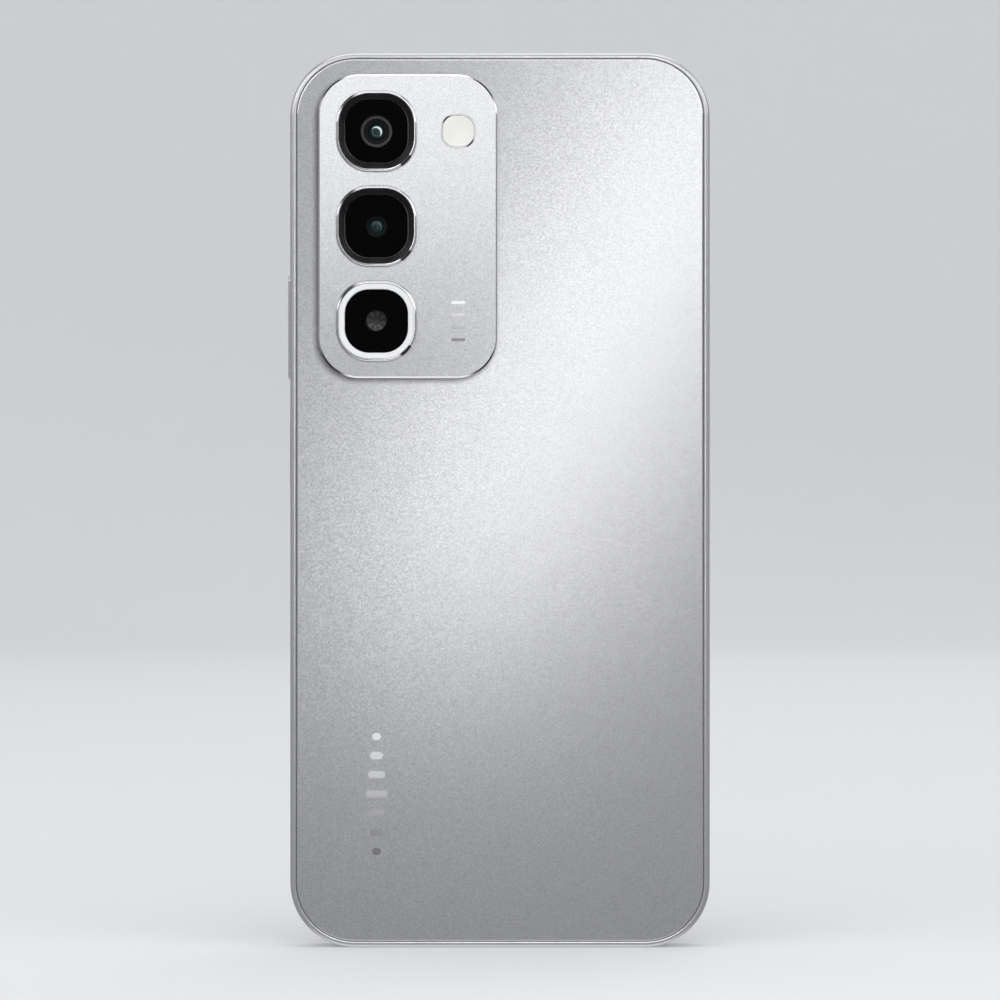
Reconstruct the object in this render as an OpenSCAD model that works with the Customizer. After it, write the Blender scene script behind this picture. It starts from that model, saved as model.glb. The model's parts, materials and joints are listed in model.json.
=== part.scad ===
/* [Body] */
// Width across the side frame
body_w = 77.9; // [77.5:0.1:79]
// Height from the bottom edge to the top edge
body_h = 166.1; // [165.5:0.1:168]
// Thickness from the display glass to the rear cover
body_t = 8.4; // [8.4:0.1:9]
// Radius of the four corners, seen from the rear
corner_r = 12; // [11:0.1:12.6]
// Radius of the roundover along the frame's rear edge
rear_edge_r = 0.9; // [0.6:0.1:1]
// Thickness of the display's cover glass
glass_t = 0.7; // [0.6:0.05:0.7]
// Thickness of the rear cover
cover_t = 0.8; // [0.7:0.05:0.9]

/* [Camera island] */
// Width of the raised camera island
island_w = 33.2; // [32:0.1:34]
// Height of the raised camera island
island_h = 56.3; // [55:0.1:58]
// Corner radius of the camera island
island_r = 7.6; // [6:0.1:8.5]
// How far the island stands above the rear cover
island_rise = 1.1; // [0.9:0.1:1.4]
// Distance between two neighbouring lenses
lens_pitch = 17.6; // [17.2:0.1:18.5]
// Size across the squarish trim round each lens
lens_size = 15; // [14.4:0.1:15.2]
// Corner radius of that trim
lens_r = 6.2; // [5.8:0.1:6.4]

/* [Keys] */
// Length of the volume key
volume_len = 19.4; // [18:0.1:21]
// How far the volume key stands out of the frame
volume_rise = 0.5; // [0.3:0.05:0.6]
// Length of the power key
power_len = 12.8; // [12:0.1:14]
// How far the power key stands out of the frame
power_rise = 0.15; // [0.05:0.05:0.3]
// Width of both keys, across the frame
key_w = 2.4; // [2:0.1:2.6]

/* [Card tray and ports] */
// Length of the card tray's door
door_len = 17; // [16:0.1:18]
// Height of the card tray's door, across the frame
door_w = 3; // [2.6:0.1:3.2]
// Depth of the card tray, from the door's face to its inner end
tray_depth = 31; // [30:0.5:32]
// Number of holes in front of the loudspeaker
speaker_holes = 6; // [4:1:7]
// Radius of each loudspeaker hole
speaker_hole_r = 0.55; // [0.4:0.05:0.7]

/* [Hidden] */
$fn = 64;

// Half sizes and the level of everything that opens through the frame's sides
half_w = body_w / 2;
mid_y = body_h / 2;
mid_z = body_t / 2;
snug = 0.05;     // gap between neighbours that only lie side by side
key_gap = 0.12;  // gap round a key or the tray's door

// Side frame: distances in from its outer face, and levels up from the display
frame_wall = 1.9;
lip_inset = 0.75;
lip_z = 0.25;
rim_inset = 0.95;
rim_z = body_t - 0.1;
glass_ledge_z = glass_t + 0.15;
cover_ledge_inset = 2.8;
cover_bottom_z = body_t - cover_t;
cover_ledge_z = cover_bottom_z - 0.1;
cover_ledge_t = 0.6;

// Display stack and the plate behind it
glass_inset = lip_inset + 0.1;
panel_inset = 2.1;
panel_t = 0.6;
backlight_top_z = 2.35;
plate_z = 2.4;
plate_t = 0.5;
plate_top = plate_z + plate_t;
punch_y = body_h - 5.6;
punch_r = 1.9;
slit_len = 13;
slit_depth = 0.5;

// Rear cover and camera island
cover_inset = rim_inset + 0.28;
cover_edge = 0.2;
island_x = 0.8 * -half_w + 14.06;
island_y = body_h - 4.15 - island_h / 2;
island_top = body_t + island_rise;
island_edge = 0.3;
island_seat = 1.6;
lens_x = island_x - island_w / 2 + 10.8;
lens_y = [island_y + lens_pitch, island_y, island_y - lens_pitch];
lens_core = lens_size / 2 - lens_r;   // offset of the corner centres that all the lens outlines share
trim_floor_z = body_t + 0.5;
trim_top_z = island_top + 0.65;
trim_band = 0.5;
trim_flange_t = 0.3;
glass_half = 5.85;
well_half = 5.3;
window_z = trim_floor_z + trim_flange_t;
window_t = 0.6;
flash_x = island_x + island_w / 2 - 7.24;
flash_size = 6.4;
flash_r = 2.68;
flash_gap = 0.3;

// Main camera: an actuator housing with a barrel that slides to focus
camera_size = 9.6;
camera_top_z = cover_bottom_z - 0.1;
barrel_r = 3;
barrel_gap = 0.08;
barrel_top_z = window_z - 0.45;
barrel_flange_r = 3.5;
second_size = 6.6;
second_barrel_r = 2.1;

// Circuit boards and what stands on them
board_t = 0.7;
board_z = 4.3;
board_top = board_z + board_t;
board_x = [-34.3, 35.5];
board_y = [114, 161.6];
shield_t = 1.15;
shell_t = 0.2;
lid_z = 6.4;
lid_t = 0.45;
lid_top = lid_z + lid_t;
screw_r = 0.58;
screw_head_r = 1.25;
screw_head_t = 0.4;
boss_r = 1.6;
boss_hole_r = 0.6;
through_r = 0.8;
upper_screws = [[-32, 117], [-13, 137], [-32, 158.5], [-12, 158.5], [32.5, 117], [23, 159], [32.8, 145]];
lower_screws = [[-32, 20.2], [-9.5, 20.2], [8.5, 20.2], [32.5, 20.2]];

// Battery and lower end
battery_x = [-32.6, 34.8];
battery_y = [24.4, 111.4];
battery_z = plate_top + 0.1;
battery_t = 4.2;
bay_wall = 0.7;
sub_x = [-7.4, 34.6];
sub_y = [3.4, 22.4];
sub_z = 3.5;
usb_w = 8.94;
usb_h = 3.16;
usb_wall = 0.3;
usb_len = 7.4;
usb_hole_gap = 0.15;
speaker_x = [-35, -8];
speaker_y = [3.2, 22.6];
speaker_top = 6.2;
speaker_first_x = -12.6;
speaker_pitch = 2.3;
diaphragm_t = 0.25;
mic_x = 12.5;
mic_r = 0.45;
upper_mic_x = 15;
motor_r = 1.9;
motor_len = 7.5;
motor_x = 21.5;
motor_y = 16.4;
motor_z = 5;
weight_r = 1.75;
weight_len = 3.2;
shaft_r = 0.35;

// Keys: places along the left side, and the parts behind the frame's wall
volume_y = body_h - 50.9;
power_y = body_h - 74.4;
key_back_x = -half_w + frame_wall;
flange_t = 0.3;
flange_gap = 0.15;
rocker_rib_r = 0.25;
plunger_r = 0.6;
plunger_len = 0.85;
plunger_reach = volume_len / 3;
switch_gap = 0.3;
switch_t = 0.55;
strip_t = 0.2;

// Card tray: levels of its plate, and its two pockets
tray_y = body_h - 32.6;
tray_z = 3.35;
tray_t = 0.8;
tray_w = 12.4;
door_t = 1.5;
pocket = [12.4, 9];
pin_hole_r = 0.45;
pin_y = tray_y + door_len / 2 - 1.3;
tray_inner_x = half_w - tray_depth;
rod_r = 0.4;
rod_tip_x = half_w - door_t - 1.4;
rod_end_x = tray_inner_x - 1.3;
lever_w = 1.1;
lever_x = rod_end_x - snug - lever_w / 2;
lever_reach = 3.2;
lever_pivot_y = tray_y + 3.4;
lever_z = tray_z + 0.1;
lever_t = 0.6;

// ---- Shared shapes ----

// Stands the design, drawn lying on its display, on its bottom edge with the rear towards -Y.
module upright() {
    translate([0, mid_z, 0]) rotate([90, 0, 0]) children();
}

// Flat rounded rectangle with true arcs at its corners.
module rounded(w, h, r) {
    square([w - 2 * r, h], center = true);
    square([w, h - 2 * r], center = true);
    for (sx = [-1, 1], sy = [-1, 1])
        translate([sx * (w / 2 - r), sy * (h / 2 - r)]) circle(r);
}

// Flat slot with round ends, w long and h across.
module slot(w, h) {
    square([w - h, h], center = true);
    for (s = [-1, 1]) translate([s * (w - h) / 2, 0]) circle(h / 2);
}

// Sweeps a flat profile round a rounded rectangle. The profile's x runs out from the corner's centre.
module around(w, h, r) {
    half = [w / 2 - r, h / 2 - r];
    for (i = [0:3]) {
        a = half[i % 2];
        b = half[1 - i % 2];
        rotate(90 * i) {
            translate([a, b, 0]) rotate_extrude(angle = 90) children();
            translate([a, 0, 0]) rotate([90, 0, 0]) linear_extrude(2 * b, center = true) children();
        }
    }
}

// Rectangle whose far corner has a roundover or a chamfer of size e, as an edge profile.
module edge_profile(r, z0, z1, e, chamfer = false) {
    difference() {
        translate([0, z0]) square([r, z1 - z0]);
        translate([r - e, z1 - e]) difference() {
            square(e + 1);
            if (chamfer) polygon([[0, 0], [e, 0], [0, e]]);
            else circle(e);
        }
    }
}

// Plate with a shaped edge along its rear face.
module edged_plate(w, h, r, z0, z1, e, chamfer = false) {
    around(w, h, r) intersection() {
        edge_profile(r, z0, z1, e, chamfer);
        translate([r - 2 * e, z0 - 1]) square([2 * e + 1, z1 - z0 + 2]);
    }
    plate(w - 3 * e, h - 3 * e, r - 1.5 * e, z0, z1);
}

// Straight-sided plate between two levels.
module plate(w, h, r, z0, z1) {
    translate([0, 0, z0]) linear_extrude(z1 - z0) rounded(w, h, r);
}

// Plate with the body's outline, moved in from the frame's outer face.
module body_plate(inset, z0, z1) {
    translate([0, mid_y, 0])
        plate(body_w - 2 * inset, body_h - 2 * inset, corner_r - inset, z0, z1);
}

// Ring with the body's outline between two insets.
module body_ring(inset_out, inset_in, z0, z1) {
    difference() {
        body_plate(inset_out, z0, z1);
        body_plate(inset_in, z0 - 1, z1 + 1);
    }
}

// Keeps only what fits inside the side frame.
module inside_frame() {
    intersection() {
        children();
        body_plate(frame_wall + 0.3, -1, body_t + 1);
    }
}

// Box between two corners given as ranges.
module block(xr, yr, zr) {
    translate([xr[0], yr[0], zr[0]]) cube([xr[1] - xr[0], yr[1] - yr[0], zr[1] - zr[0]]);
}

// Thin shell open on one side, as a stamped can: walls and one face.
module can(xr, yr, zr, face_up) {
    difference() {
        block(xr, yr, zr);
        block([xr[0] + shell_t, xr[1] - shell_t], [yr[0] + shell_t, yr[1] - shell_t],
            face_up ? [zr[0] - 1, zr[1] - shell_t] : [zr[0] + shell_t, zr[1] + 1]);
    }
}

// Opening or solid pushed through a side of the frame: long axis along the height, depth along X.
module side_slot(x, y, z, len, h, depth) {
    translate([x, y, z]) rotate([90, 0, 90]) linear_extrude(depth) slot(len, h);
}

// Opening or solid that runs along the height through the bottom or top edge.
module end_slot(x, y, z, w, h, depth) {
    translate([x, y, z]) rotate([-90, 0, 0]) linear_extrude(depth) slot(w, h);
}

module end_hole(x, y, z, r, depth) {
    translate([x, y, z]) rotate([-90, 0, 0]) cylinder(h = depth, r = r);
}

// Puts the children at each of a list of places.
module at(places) {
    for (p = places) translate([p[0], p[1], 0]) children();
}

function speaker_hole_x(i) = speaker_first_x - i * speaker_pitch;

// ---- Casing ----

module frame_profile() {
    e = rear_edge_r;
    l = lip_inset;
    difference() {
        translate([corner_r, 0]) polygon([
            [0, lip_z], [0, rim_z], [-rim_inset, rim_z], [-rim_inset, cover_ledge_z],
            [-cover_ledge_inset, cover_ledge_z], [-cover_ledge_inset, cover_ledge_z - cover_ledge_t],
            [-frame_wall, cover_ledge_z - cover_ledge_t], [-frame_wall, glass_ledge_z],
            [-lip_inset, glass_ledge_z], [-lip_inset, lip_z]
        ]);
        translate([corner_r - e, rim_z - e]) difference() {
            square(e + 1);
            circle(e);
        }
        translate([corner_r - l, lip_z - 1]) difference() {
            square(l + 1);
            translate([0, l + 1]) circle(l);
        }
    }
}

module side_frame() {
    color("silver") difference() {
        translate([0, mid_y, 0]) around(body_w, body_h, corner_r) frame_profile();
        side_slot(-half_w - 1, volume_y, mid_z, volume_len + 2 * key_gap, key_w + 2 * key_gap, 4);
        side_slot(-half_w - 1, power_y, mid_z, power_len + 2 * key_gap, key_w + 2 * key_gap, 4);
        side_slot(half_w - 3, tray_y, mid_z, door_len + 2 * snug, door_w + 2 * snug, 4);
        end_slot(0, -1, mid_z, usb_w + 2 * usb_hole_gap, usb_h + 2 * usb_hole_gap, 4);
        for (i = [0:speaker_holes - 1]) end_hole(speaker_hole_x(i), -1, mid_z, speaker_hole_r, 4);
        end_hole(mic_x, -1, mid_z, mic_r, 4);
        end_hole(upper_mic_x, body_h - 3, mid_z, mic_r, 4);
    }
}

module mid_plate() {
    inset = frame_wall + snug;
    color("slategray") difference() {
        union() {
            body_plate(inset, plate_z, plate_top);
            at(upper_screws) translate([0, 0, plate_top]) cylinder(h = board_z - plate_top, r = boss_r);
            at(lower_screws) translate([0, 0, plate_top]) cylinder(h = sub_z - plate_top, r = boss_r);
            difference() {
                block([battery_x[0] - snug - bay_wall, battery_x[1] + snug + bay_wall],
                    [battery_y[0] - snug - bay_wall, battery_y[1] + snug + bay_wall],
                    [plate_top, plate_top + 1.2]);
                block([battery_x[0] - snug, battery_x[1] + snug],
                    [battery_y[0] - snug, battery_y[1] + snug], [plate_top - 1, body_t]);
            }
        }
        at(concat(upper_screws, lower_screws)) translate([0, 0, plate_z - 1]) cylinder(h = 4, r = boss_hole_r);
        translate([0, punch_y, 0]) cylinder(h = body_t, r = punch_r + 0.3);
        block([-6.2, 6.2], [0, 12], [0, body_t]);
        block([-12, 12], [22.6, 23.5], [0, body_t]);
        block([-half_w, key_back_x + 1.8], [power_y - 7, volume_y + 10.5], [0, body_t]);
    }
}

module rear_cover() {
    w = body_w - 2 * cover_inset;
    h = body_h - 2 * cover_inset;
    color("gainsboro") difference() {
        translate([0, mid_y, 0])
            edged_plate(w, h, corner_r - cover_inset, cover_bottom_z, body_t, cover_edge);
        translate([island_x, island_y, 0])
            plate(island_w - 2 * island_seat, island_h - 2 * island_seat, island_r - island_seat, 0, body_t + 1);
    }
}

module cover_adhesive() {
    color("dimgray") body_ring(cover_inset + snug, cover_ledge_inset - snug, cover_ledge_z, cover_bottom_z);
}

// ---- Display ----

module display_glass() {
    inset = glass_inset;
    color("black") difference() {
        translate([0, mid_y, glass_t]) mirror([0, 0, 1])
            edged_plate(body_w - 2 * inset, body_h - 2 * inset, corner_r - inset, 0, glass_t, 0.35);
        translate([0, body_h - inset, -1]) linear_extrude(3) square([slit_len, 2 * slit_depth], center = true);
    }
}

module display_panel() {
    color("midnightblue") difference() {
        body_plate(panel_inset, glass_t, glass_t + panel_t);
        translate([0, punch_y, 0]) cylinder(h = body_t, r = punch_r + 0.1);
    }
}

module backlight_unit() {
    color("white") difference() {
        body_plate(panel_inset + 0.3, glass_t + panel_t, backlight_top_z);
        translate([0, punch_y, 0]) cylinder(h = body_t, r = punch_r + 0.1);
    }
}

module display_adhesive() {
    color("dimgray") difference() {
        body_ring(glass_inset + snug, frame_wall - snug, glass_t, glass_ledge_z);
        translate([0, body_h - glass_inset, 0]) cube([slit_len, 2 * slit_depth, 4], center = true);
    }
}

// Ribbon from the panel's lower edge, through the mid plate, to the sub board's rear side.
module display_flex() {
    color("darkorange") {
        block([-11, 11], [22.95, 23.15], [backlight_top_z + 0.1, 3.35]);
        block([-5, 5], [12.5, 22.95], [3.15, 3.35]);
    }
}

module earpiece_mesh() {
    color("dimgray") translate([0, body_h - glass_inset, 0.2]) linear_extrude(0.45)
        translate([-slit_len / 2 + snug, -slit_depth + snug]) square([slit_len - 2 * snug, slit_depth - snug]);
}

module earpiece_speaker() {
    color("gold") {
        block([5.5, 18.5], [151.5, 158.5], [plate_top, 5.3]);
        block([7, 17], [153, 157], [5.3, 5.5]);
    }
}

module front_camera() {
    color("black") translate([0, punch_y, 0]) difference() {
        union() {
            translate([0, 0, glass_t]) cylinder(h = plate_top - glass_t + 0.1, r = punch_r);
            translate([-3.2, -3.2, plate_top]) cube([6.4, 5.6, 2.4]);
        }
        translate([0, 0, glass_t - 1]) cylinder(h = 1.4, r1 = 1.9, r2 = 0.7);
    }
}

// ---- Camera island ----

// A solid or ring with the lens outline: half sizes are measured at the flats.
module lens_solid(half, z0, z1) {
    plate(2 * half, 2 * half, half - lens_core, z0, z1);
}

module lens_ring(half_out, half_in, z0, z1) {
    difference() {
        lens_solid(half_out, z0, z1);
        lens_solid(half_in, z0 - 1, z1 + 1);
    }
}

module flash_solid(size, z0, z1) {
    plate(size, size, flash_r - (flash_size - size) / 2, z0, z1);
}

module camera_island() {
    color("gainsboro") difference() {
        translate([island_x, island_y, 0]) union() {
            edged_plate(island_w, island_h, island_r, body_t, island_top, island_edge, true);
            plate(island_w - 2 * island_seat - 2 * snug, island_h - 2 * island_seat - 2 * snug,
                island_r - island_seat - snug, cover_bottom_z, body_t);
        }
        for (y = lens_y) translate([lens_x, y, 0]) {
            lens_solid(lens_size / 2 + snug, trim_floor_z, body_t + 5);
            lens_solid(well_half, 0, body_t + 5);
        }
        translate([flash_x, lens_y[0], 0]) {
            flash_solid(flash_size, body_t + 0.2, body_t + 5);
            flash_solid(flash_size - 1.6, 0, body_t + 5);
        }
    }
}

// Polished trim: a chamfered band with a flange that carries the bezel and the window.
module lens_trim(i) {
    r_out = lens_r;
    r_in = lens_r - trim_band;
    r_well = well_half - lens_core;
    chamfer = 0.4;
    color("silver") translate([lens_x, lens_y[i], 0]) around(lens_size, lens_size, lens_r) polygon([
        [r_well, trim_floor_z], [r_out, trim_floor_z], [r_out, trim_top_z - chamfer],
        [r_in + 0.1, trim_top_z], [r_in, trim_top_z], [r_in, window_z], [r_well, window_z]
    ]);
}

module lens_bezel(i, shade) {
    color(shade) translate([lens_x, lens_y[i], 0])
        lens_ring(lens_size / 2 - trim_band - snug, glass_half + snug, window_z, trim_top_z - 0.05);
}

module lens_glass(i) {
    color("black") translate([lens_x, lens_y[i], 0]) lens_solid(glass_half, window_z, window_z + window_t);
}

module main_camera() {
    s = camera_size / 2;
    flange_z = plate_top + 1.2;
    color("goldenrod") translate([lens_x, lens_y[0], 0]) difference() {
        translate([-s, -s, plate_top]) cube([2 * s, 2 * s, camera_top_z - plate_top]);
        translate([0, 0, flange_z]) cylinder(h = 10, r = barrel_r + barrel_gap);
        translate([0, 0, flange_z]) cylinder(h = 1.2, r = barrel_flange_r + barrel_gap);
    }
}

module focus_barrel() {
    flange_z = plate_top + 1.3;
    color("black") translate([lens_x, lens_y[0], 0]) difference() {
        union() {
            translate([0, 0, flange_z]) cylinder(h = barrel_top_z - flange_z, r = barrel_r);
            translate([0, 0, flange_z]) cylinder(h = 0.6, r = barrel_flange_r);
        }
        translate([0, 0, barrel_top_z - 0.9]) cylinder(h = 1.5, r1 = 1.3, r2 = 3);
    }
}

module second_camera() {
    s = second_size / 2;
    color("goldenrod") translate([lens_x, lens_y[1], 0]) difference() {
        union() {
            translate([-s, -s, plate_top]) cube([2 * s, 2 * s, 3.3]);
            translate([0, 0, plate_top]) cylinder(h = barrel_top_z - plate_top, r = second_barrel_r);
        }
        translate([0, 0, barrel_top_z - 0.7]) cylinder(h = 1.2, r1 = 1, r2 = 2);
    }
}

// Dished disc under the lower window.
module accent_lens() {
    color("dimgray") translate([lens_x, lens_y[2], 0]) difference() {
        translate([0, 0, trim_floor_z - 0.9]) cylinder(h = 0.9, r = 1.95);
        translate([0, 0, trim_floor_z - 0.3]) cylinder(h = 1, r1 = 0.1, r2 = 5);
    }
}

module light_ring_board() {
    color("darkgreen") translate([lens_x, lens_y[2], 0]) {
        translate([0, 0, cover_bottom_z]) cylinder(h = 0.3, r = 5);
        translate([0, 0, cover_bottom_z + 0.3])
            for (a = [0:60:300]) rotate(a) translate([3.6, 0, 0.3]) cube([1.2, 1, 0.6], center = true);
    }
}

module flash_lens() {
    inner = flash_size - 2 * flash_gap;
    r = flash_r - flash_gap;
    color("ivory") translate([flash_x, lens_y[0], 0])
        edged_plate(inner, inner, r, body_t + 0.2, island_top + 0.05, 0.15);
}

module flash_led() {
    color("yellow") translate([flash_x, lens_y[0], 0]) {
        for (s = [-1, 1]) translate([s * 1, 0, body_t - 0.25]) cube([1.6, 1.8, 0.5], center = true);
        translate([0, 0, body_t - 0.6]) cube([3.8, 3, 0.2], center = true);
    }
}

module light_sensor() {
    color("darkslategray") block([-9.5, -7], [158.3, 160.2], [plate_top, 3.9]);
}

// ---- Boards ----

// Room for the two rear cameras.
module camera_opening() {
    block([lens_x - 5.2, lens_x + 5.2], [lens_y[1] - 4, lens_y[0] + 5.4], [0, body_t + 1]);
}

module main_board() {
    color("darkgreen") difference() {
        inside_frame() block(board_x, board_y, [board_z, board_top]);
        camera_opening();
        block([-4, 19.2], [150.8, body_h], [0, body_t + 1]);
        at(upper_screws) cylinder(h = body_t, r = through_r);
    }
}

module processor_shield() {
    color("silver") can([-11, 3.5], [117, 147], [board_z - shield_t, board_z], false);
}

module radio_shield() {
    color("silver") can([1, 30], [118, 147.5], [board_top, board_top + shield_t], true);
}

module board_cover() {
    color("darkslategray") difference() {
        union() {
            inside_frame() block(board_x, board_y, [lid_z, lid_top]);
            at(upper_screws) translate([0, 0, board_top]) cylinder(h = lid_z - board_top, r = boss_r);
        }
        camera_opening();
        at(upper_screws) cylinder(h = body_t, r = through_r);
    }
}

module graphite_sheet() {
    color("black") block([battery_x[0] + 6, battery_x[1] - 6], [battery_y[0] + 6, battery_y[1] - 6],
        [battery_z + battery_t, battery_z + battery_t + 0.1]);
}

module battery() {
    color("dimgray") translate([(battery_x[0] + battery_x[1]) / 2, (battery_y[0] + battery_y[1]) / 2, 0])
        plate(battery_x[1] - battery_x[0], battery_y[1] - battery_y[0], 1.5, battery_z, battery_z + battery_t);
}

module battery_strap() {
    color("darkorange") {
        block([12, 22], [111.45, 112.6], [6, 6.3]);
        block([12, 22], [112.6, 116.5], [6, 6.3]);
        block([14, 20], [114.6, 116.5], [board_top, 6]);
    }
}

module sub_board() {
    color("darkgreen") difference() {
        inside_frame() block(sub_x, sub_y, [sub_z, sub_z + board_t]);
        block([-usb_w / 2 - 0.3, usb_w / 2 + 0.3], [0, usb_len + 2.4], [0, body_t]);
        block([motor_x - 2, sub_x[1] + 1], [motor_y - 2.3, motor_y + 2.3], [0, body_t]);
        at(lower_screws) cylinder(h = body_t, r = through_r);
    }
}

module usb_shell() {
    color("silver") difference() {
        end_slot(0, 0.3, mid_z, usb_w, usb_h, usb_len + 1.6);
        end_slot(0, -1, mid_z, usb_w - 2 * usb_wall, usb_h - 2 * usb_wall, usb_len + 2.2);
    }
}

module usb_tongue() {
    color("black") {
        end_slot(0, usb_len + 0.6, mid_z, usb_w - 2 * usb_wall - 0.02, usb_h - 2 * usb_wall - 0.02, 0.6);
        translate([-3.35, 1.1, mid_z - 0.35]) cube([6.7, usb_len - 0.4, 0.7]);
    }
}

module usb_seal() {
    color("black") difference() {
        end_slot(0, frame_wall + snug, mid_z, usb_w + 1, 3.5, 1);
        end_slot(0, 0, mid_z, usb_w + 0.04, usb_h + 0.04, 5);
    }
}

module loudspeaker() {
    x = [speaker_x[0] + 2.6, speaker_x[1] - 2.6];
    y = [speaker_y[0] + 3, speaker_y[1] - 5.6];
    color("black") difference() {
        inside_frame() block(speaker_x, speaker_y, [plate_top + 0.05, speaker_top]);
        block(x, y, [plate_top + 0.9, speaker_top + 1]);
        block([speaker_hole_x(speaker_holes - 1) - 1, speaker_hole_x(0) + 1], [0, speaker_y[0] + 4],
            [mid_z - 1, mid_z + 0.9]);
        at(lower_screws) cylinder(h = 30, r = boss_r + 0.3, center = true);
    }
}

module speaker_diaphragm() {
    x = [speaker_x[0] + 2.8, speaker_x[1] - 2.8];
    y = [speaker_y[0] + 3.2, speaker_y[1] - 5.8];
    color("dimgray") translate([(x[0] + x[1]) / 2, (y[0] + y[1]) / 2, 0])
        plate(x[1] - x[0], y[1] - y[0], 3, 5.45, 5.45 + diaphragm_t);
}

module speaker_mesh() {
    w = speaker_pitch * (speaker_holes - 1) + 3;
    color("gray") translate([speaker_hole_x((speaker_holes - 1) / 2) - w / 2, frame_wall + snug, mid_z - 1.2])
        cube([w, 0.25, 2.4]);
}

module speaker_cover() {
    color("darkslategray") difference() {
        union() {
            inside_frame() block([speaker_x[0], 34.8], [speaker_y[0] + 0.3, 23], [lid_z, lid_top]);
            at(lower_screws) translate([0, 0, sub_z + board_t]) cylinder(h = lid_z - sub_z - board_t, r = boss_r);
        }
        at(lower_screws) cylinder(h = body_t, r = through_r);
        block([motor_x - 1.5, 33.5], [motor_y - 2.3, motor_y + 2.3], [0, body_t]);
    }
}

module vibration_motor() {
    color("silver") translate([motor_x, motor_y, motor_z]) rotate([0, 90, 0]) difference() {
        union() {
            cylinder(h = motor_len, r = motor_r);
            translate([motor_r - 0.3, -1.9, 0]) cube([0.45, 3.8, motor_len]);
        }
        translate([0, 0, motor_len - 1]) cylinder(h = 2, r = shaft_r + 0.05);
    }
}

module vibration_weight() {
    color("gray") translate([motor_x, motor_y, motor_z]) rotate([0, 90, 0]) {
        translate([0, 0, motor_len - 0.9]) cylinder(h = weight_len + 1.2, r = shaft_r);
        translate([0, 0, motor_len + 0.3]) difference() {
            cylinder(h = weight_len, r = weight_r);
            translate([-5, shaft_r, -1]) cube([10, 5, weight_len + 2]);
        }
    }
}

module microphones() {
    color("gold") {
        block([mic_x - 1.5, mic_x + 1.5], [frame_wall + snug, frame_wall + snug + 1], [mid_z - 1.1, mid_z + 1.1]);
        block([upper_mic_x - 1.5, upper_mic_x + 1.5], [body_h - frame_wall - snug - 1, body_h - frame_wall - snug],
            [mid_z - 1.1, mid_z + 1.1]);
    }
}

// Wide ribbon over the battery that joins the two boards.
module main_flex() {
    z = battery_z + battery_t + 0.02;
    color("darkorange") {
        block([-30, -27.5], [22, 113], [z, z + 0.08]);
        block([-30, -20], [113, 118.5], [6.05, 6.2]);
        block([-30, -27.5], [112.85, 113], [6.05, z + 0.08]);
    }
}

module antenna_cable() {
    color("black") translate([board_x[1] + 0.7, 24, 5.7]) rotate([-90, 0, 0]) cylinder(h = 108, r = 0.4);
}

module screws() {
    color("silver") {
        at(upper_screws) screw(plate_top - 0.3);
        at(lower_screws) screw(plate_top - 0.3);
    }
}

module screw(tip_z) {
    difference() {
        union() {
            translate([0, 0, tip_z]) cylinder(h = lid_top - tip_z, r = screw_r);
            translate([0, 0, lid_top]) cylinder(h = screw_head_t, r = screw_head_r);
        }
        for (a = [0, 90]) rotate(a) translate([0, 0, lid_top + screw_head_t]) cube([1.6, 0.35, 0.4], center = true);
    }
}

// ---- Keys and card tray ----

// The rib across its flange is what the key rocks on.
module volume_key() {
    back = key_back_x - 0.4;
    color("silver") {
        side_slot(-half_w - volume_rise, volume_y, mid_z, volume_len, key_w, back + half_w + volume_rise);
        side_slot(back, volume_y, mid_z, 8, key_w, 0.4 + flange_gap);
        side_slot(key_back_x + flange_gap, volume_y, mid_z, 8, key_w + 1, flange_t);
        translate([key_back_x + flange_gap + flange_t / 2, volume_y, mid_z])
            cylinder(h = key_w + 1, r = rocker_rib_r, center = true);
        for (s = [-1, 1]) translate([back - 0.1, volume_y + s * plunger_reach, mid_z])
            rotate([0, 90, 0]) cylinder(h = plunger_len, r = plunger_r);
    }
}

module power_key() {
    back = key_back_x + flange_gap;
    color("silver") difference() {
        union() {
            side_slot(-half_w - power_rise, power_y, mid_z, power_len, key_w, back + half_w + power_rise);
            side_slot(back, power_y, mid_z, power_len - 2, key_w + 1, flange_t);
            translate([back, power_y, mid_z]) rotate([0, 90, 0]) cylinder(h = flange_t + 0.25, r = plunger_r);
        }
        side_slot(-half_w - power_rise - 1, power_y, mid_z, power_len - 1, key_w - 0.8, 1.3);
    }
}

module fingerprint_sensor() {
    color("gray") side_slot(-half_w - power_rise + 0.04, power_y, mid_z, power_len - 1.06, key_w - 0.86, 0.25);
}

// Ribbon along the frame with a switch behind each end of the volume key and one behind the power key.
module key_switches() {
    x = key_back_x + flange_gap + flange_t + 0.25 + switch_gap;
    color("darkorange") {
        block([x + switch_t, x + switch_t + strip_t], [power_y - 5, volume_y + plunger_reach + 3],
            [mid_z - 1.4, mid_z + 1.4]);
        for (y = [volume_y - plunger_reach, volume_y + plunger_reach, power_y])
            block([x, x + switch_t], [y - 1.5, y + 1.5], [mid_z - 1.2, mid_z + 1.2]);
    }
}

module card_tray() {
    x_in = tray_inner_x;
    color("silver") difference() {
        union() {
            side_slot(half_w - door_t, tray_y, mid_z, door_len, door_w, door_t);
            translate([x_in, tray_y - tray_w / 2, tray_z]) cube([tray_depth - door_t, tray_w, tray_t]);
            translate([half_w - frame_wall - 0.6, tray_y - tray_w / 2, tray_z])
                cube([0.6 + frame_wall - door_t, tray_w, 1.5]);
        }
        for (i = [0, 1]) translate([x_in + 1.2 + i * (pocket[0] + 1.3), tray_y - pocket[1] / 2, tray_z - 1])
            cube([pocket[0], pocket[1], 4]);
        translate([half_w - 4, pin_y, mid_z]) rotate([0, 90, 0]) cylinder(h = 6, r = pin_hole_r);
    }
}

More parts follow.
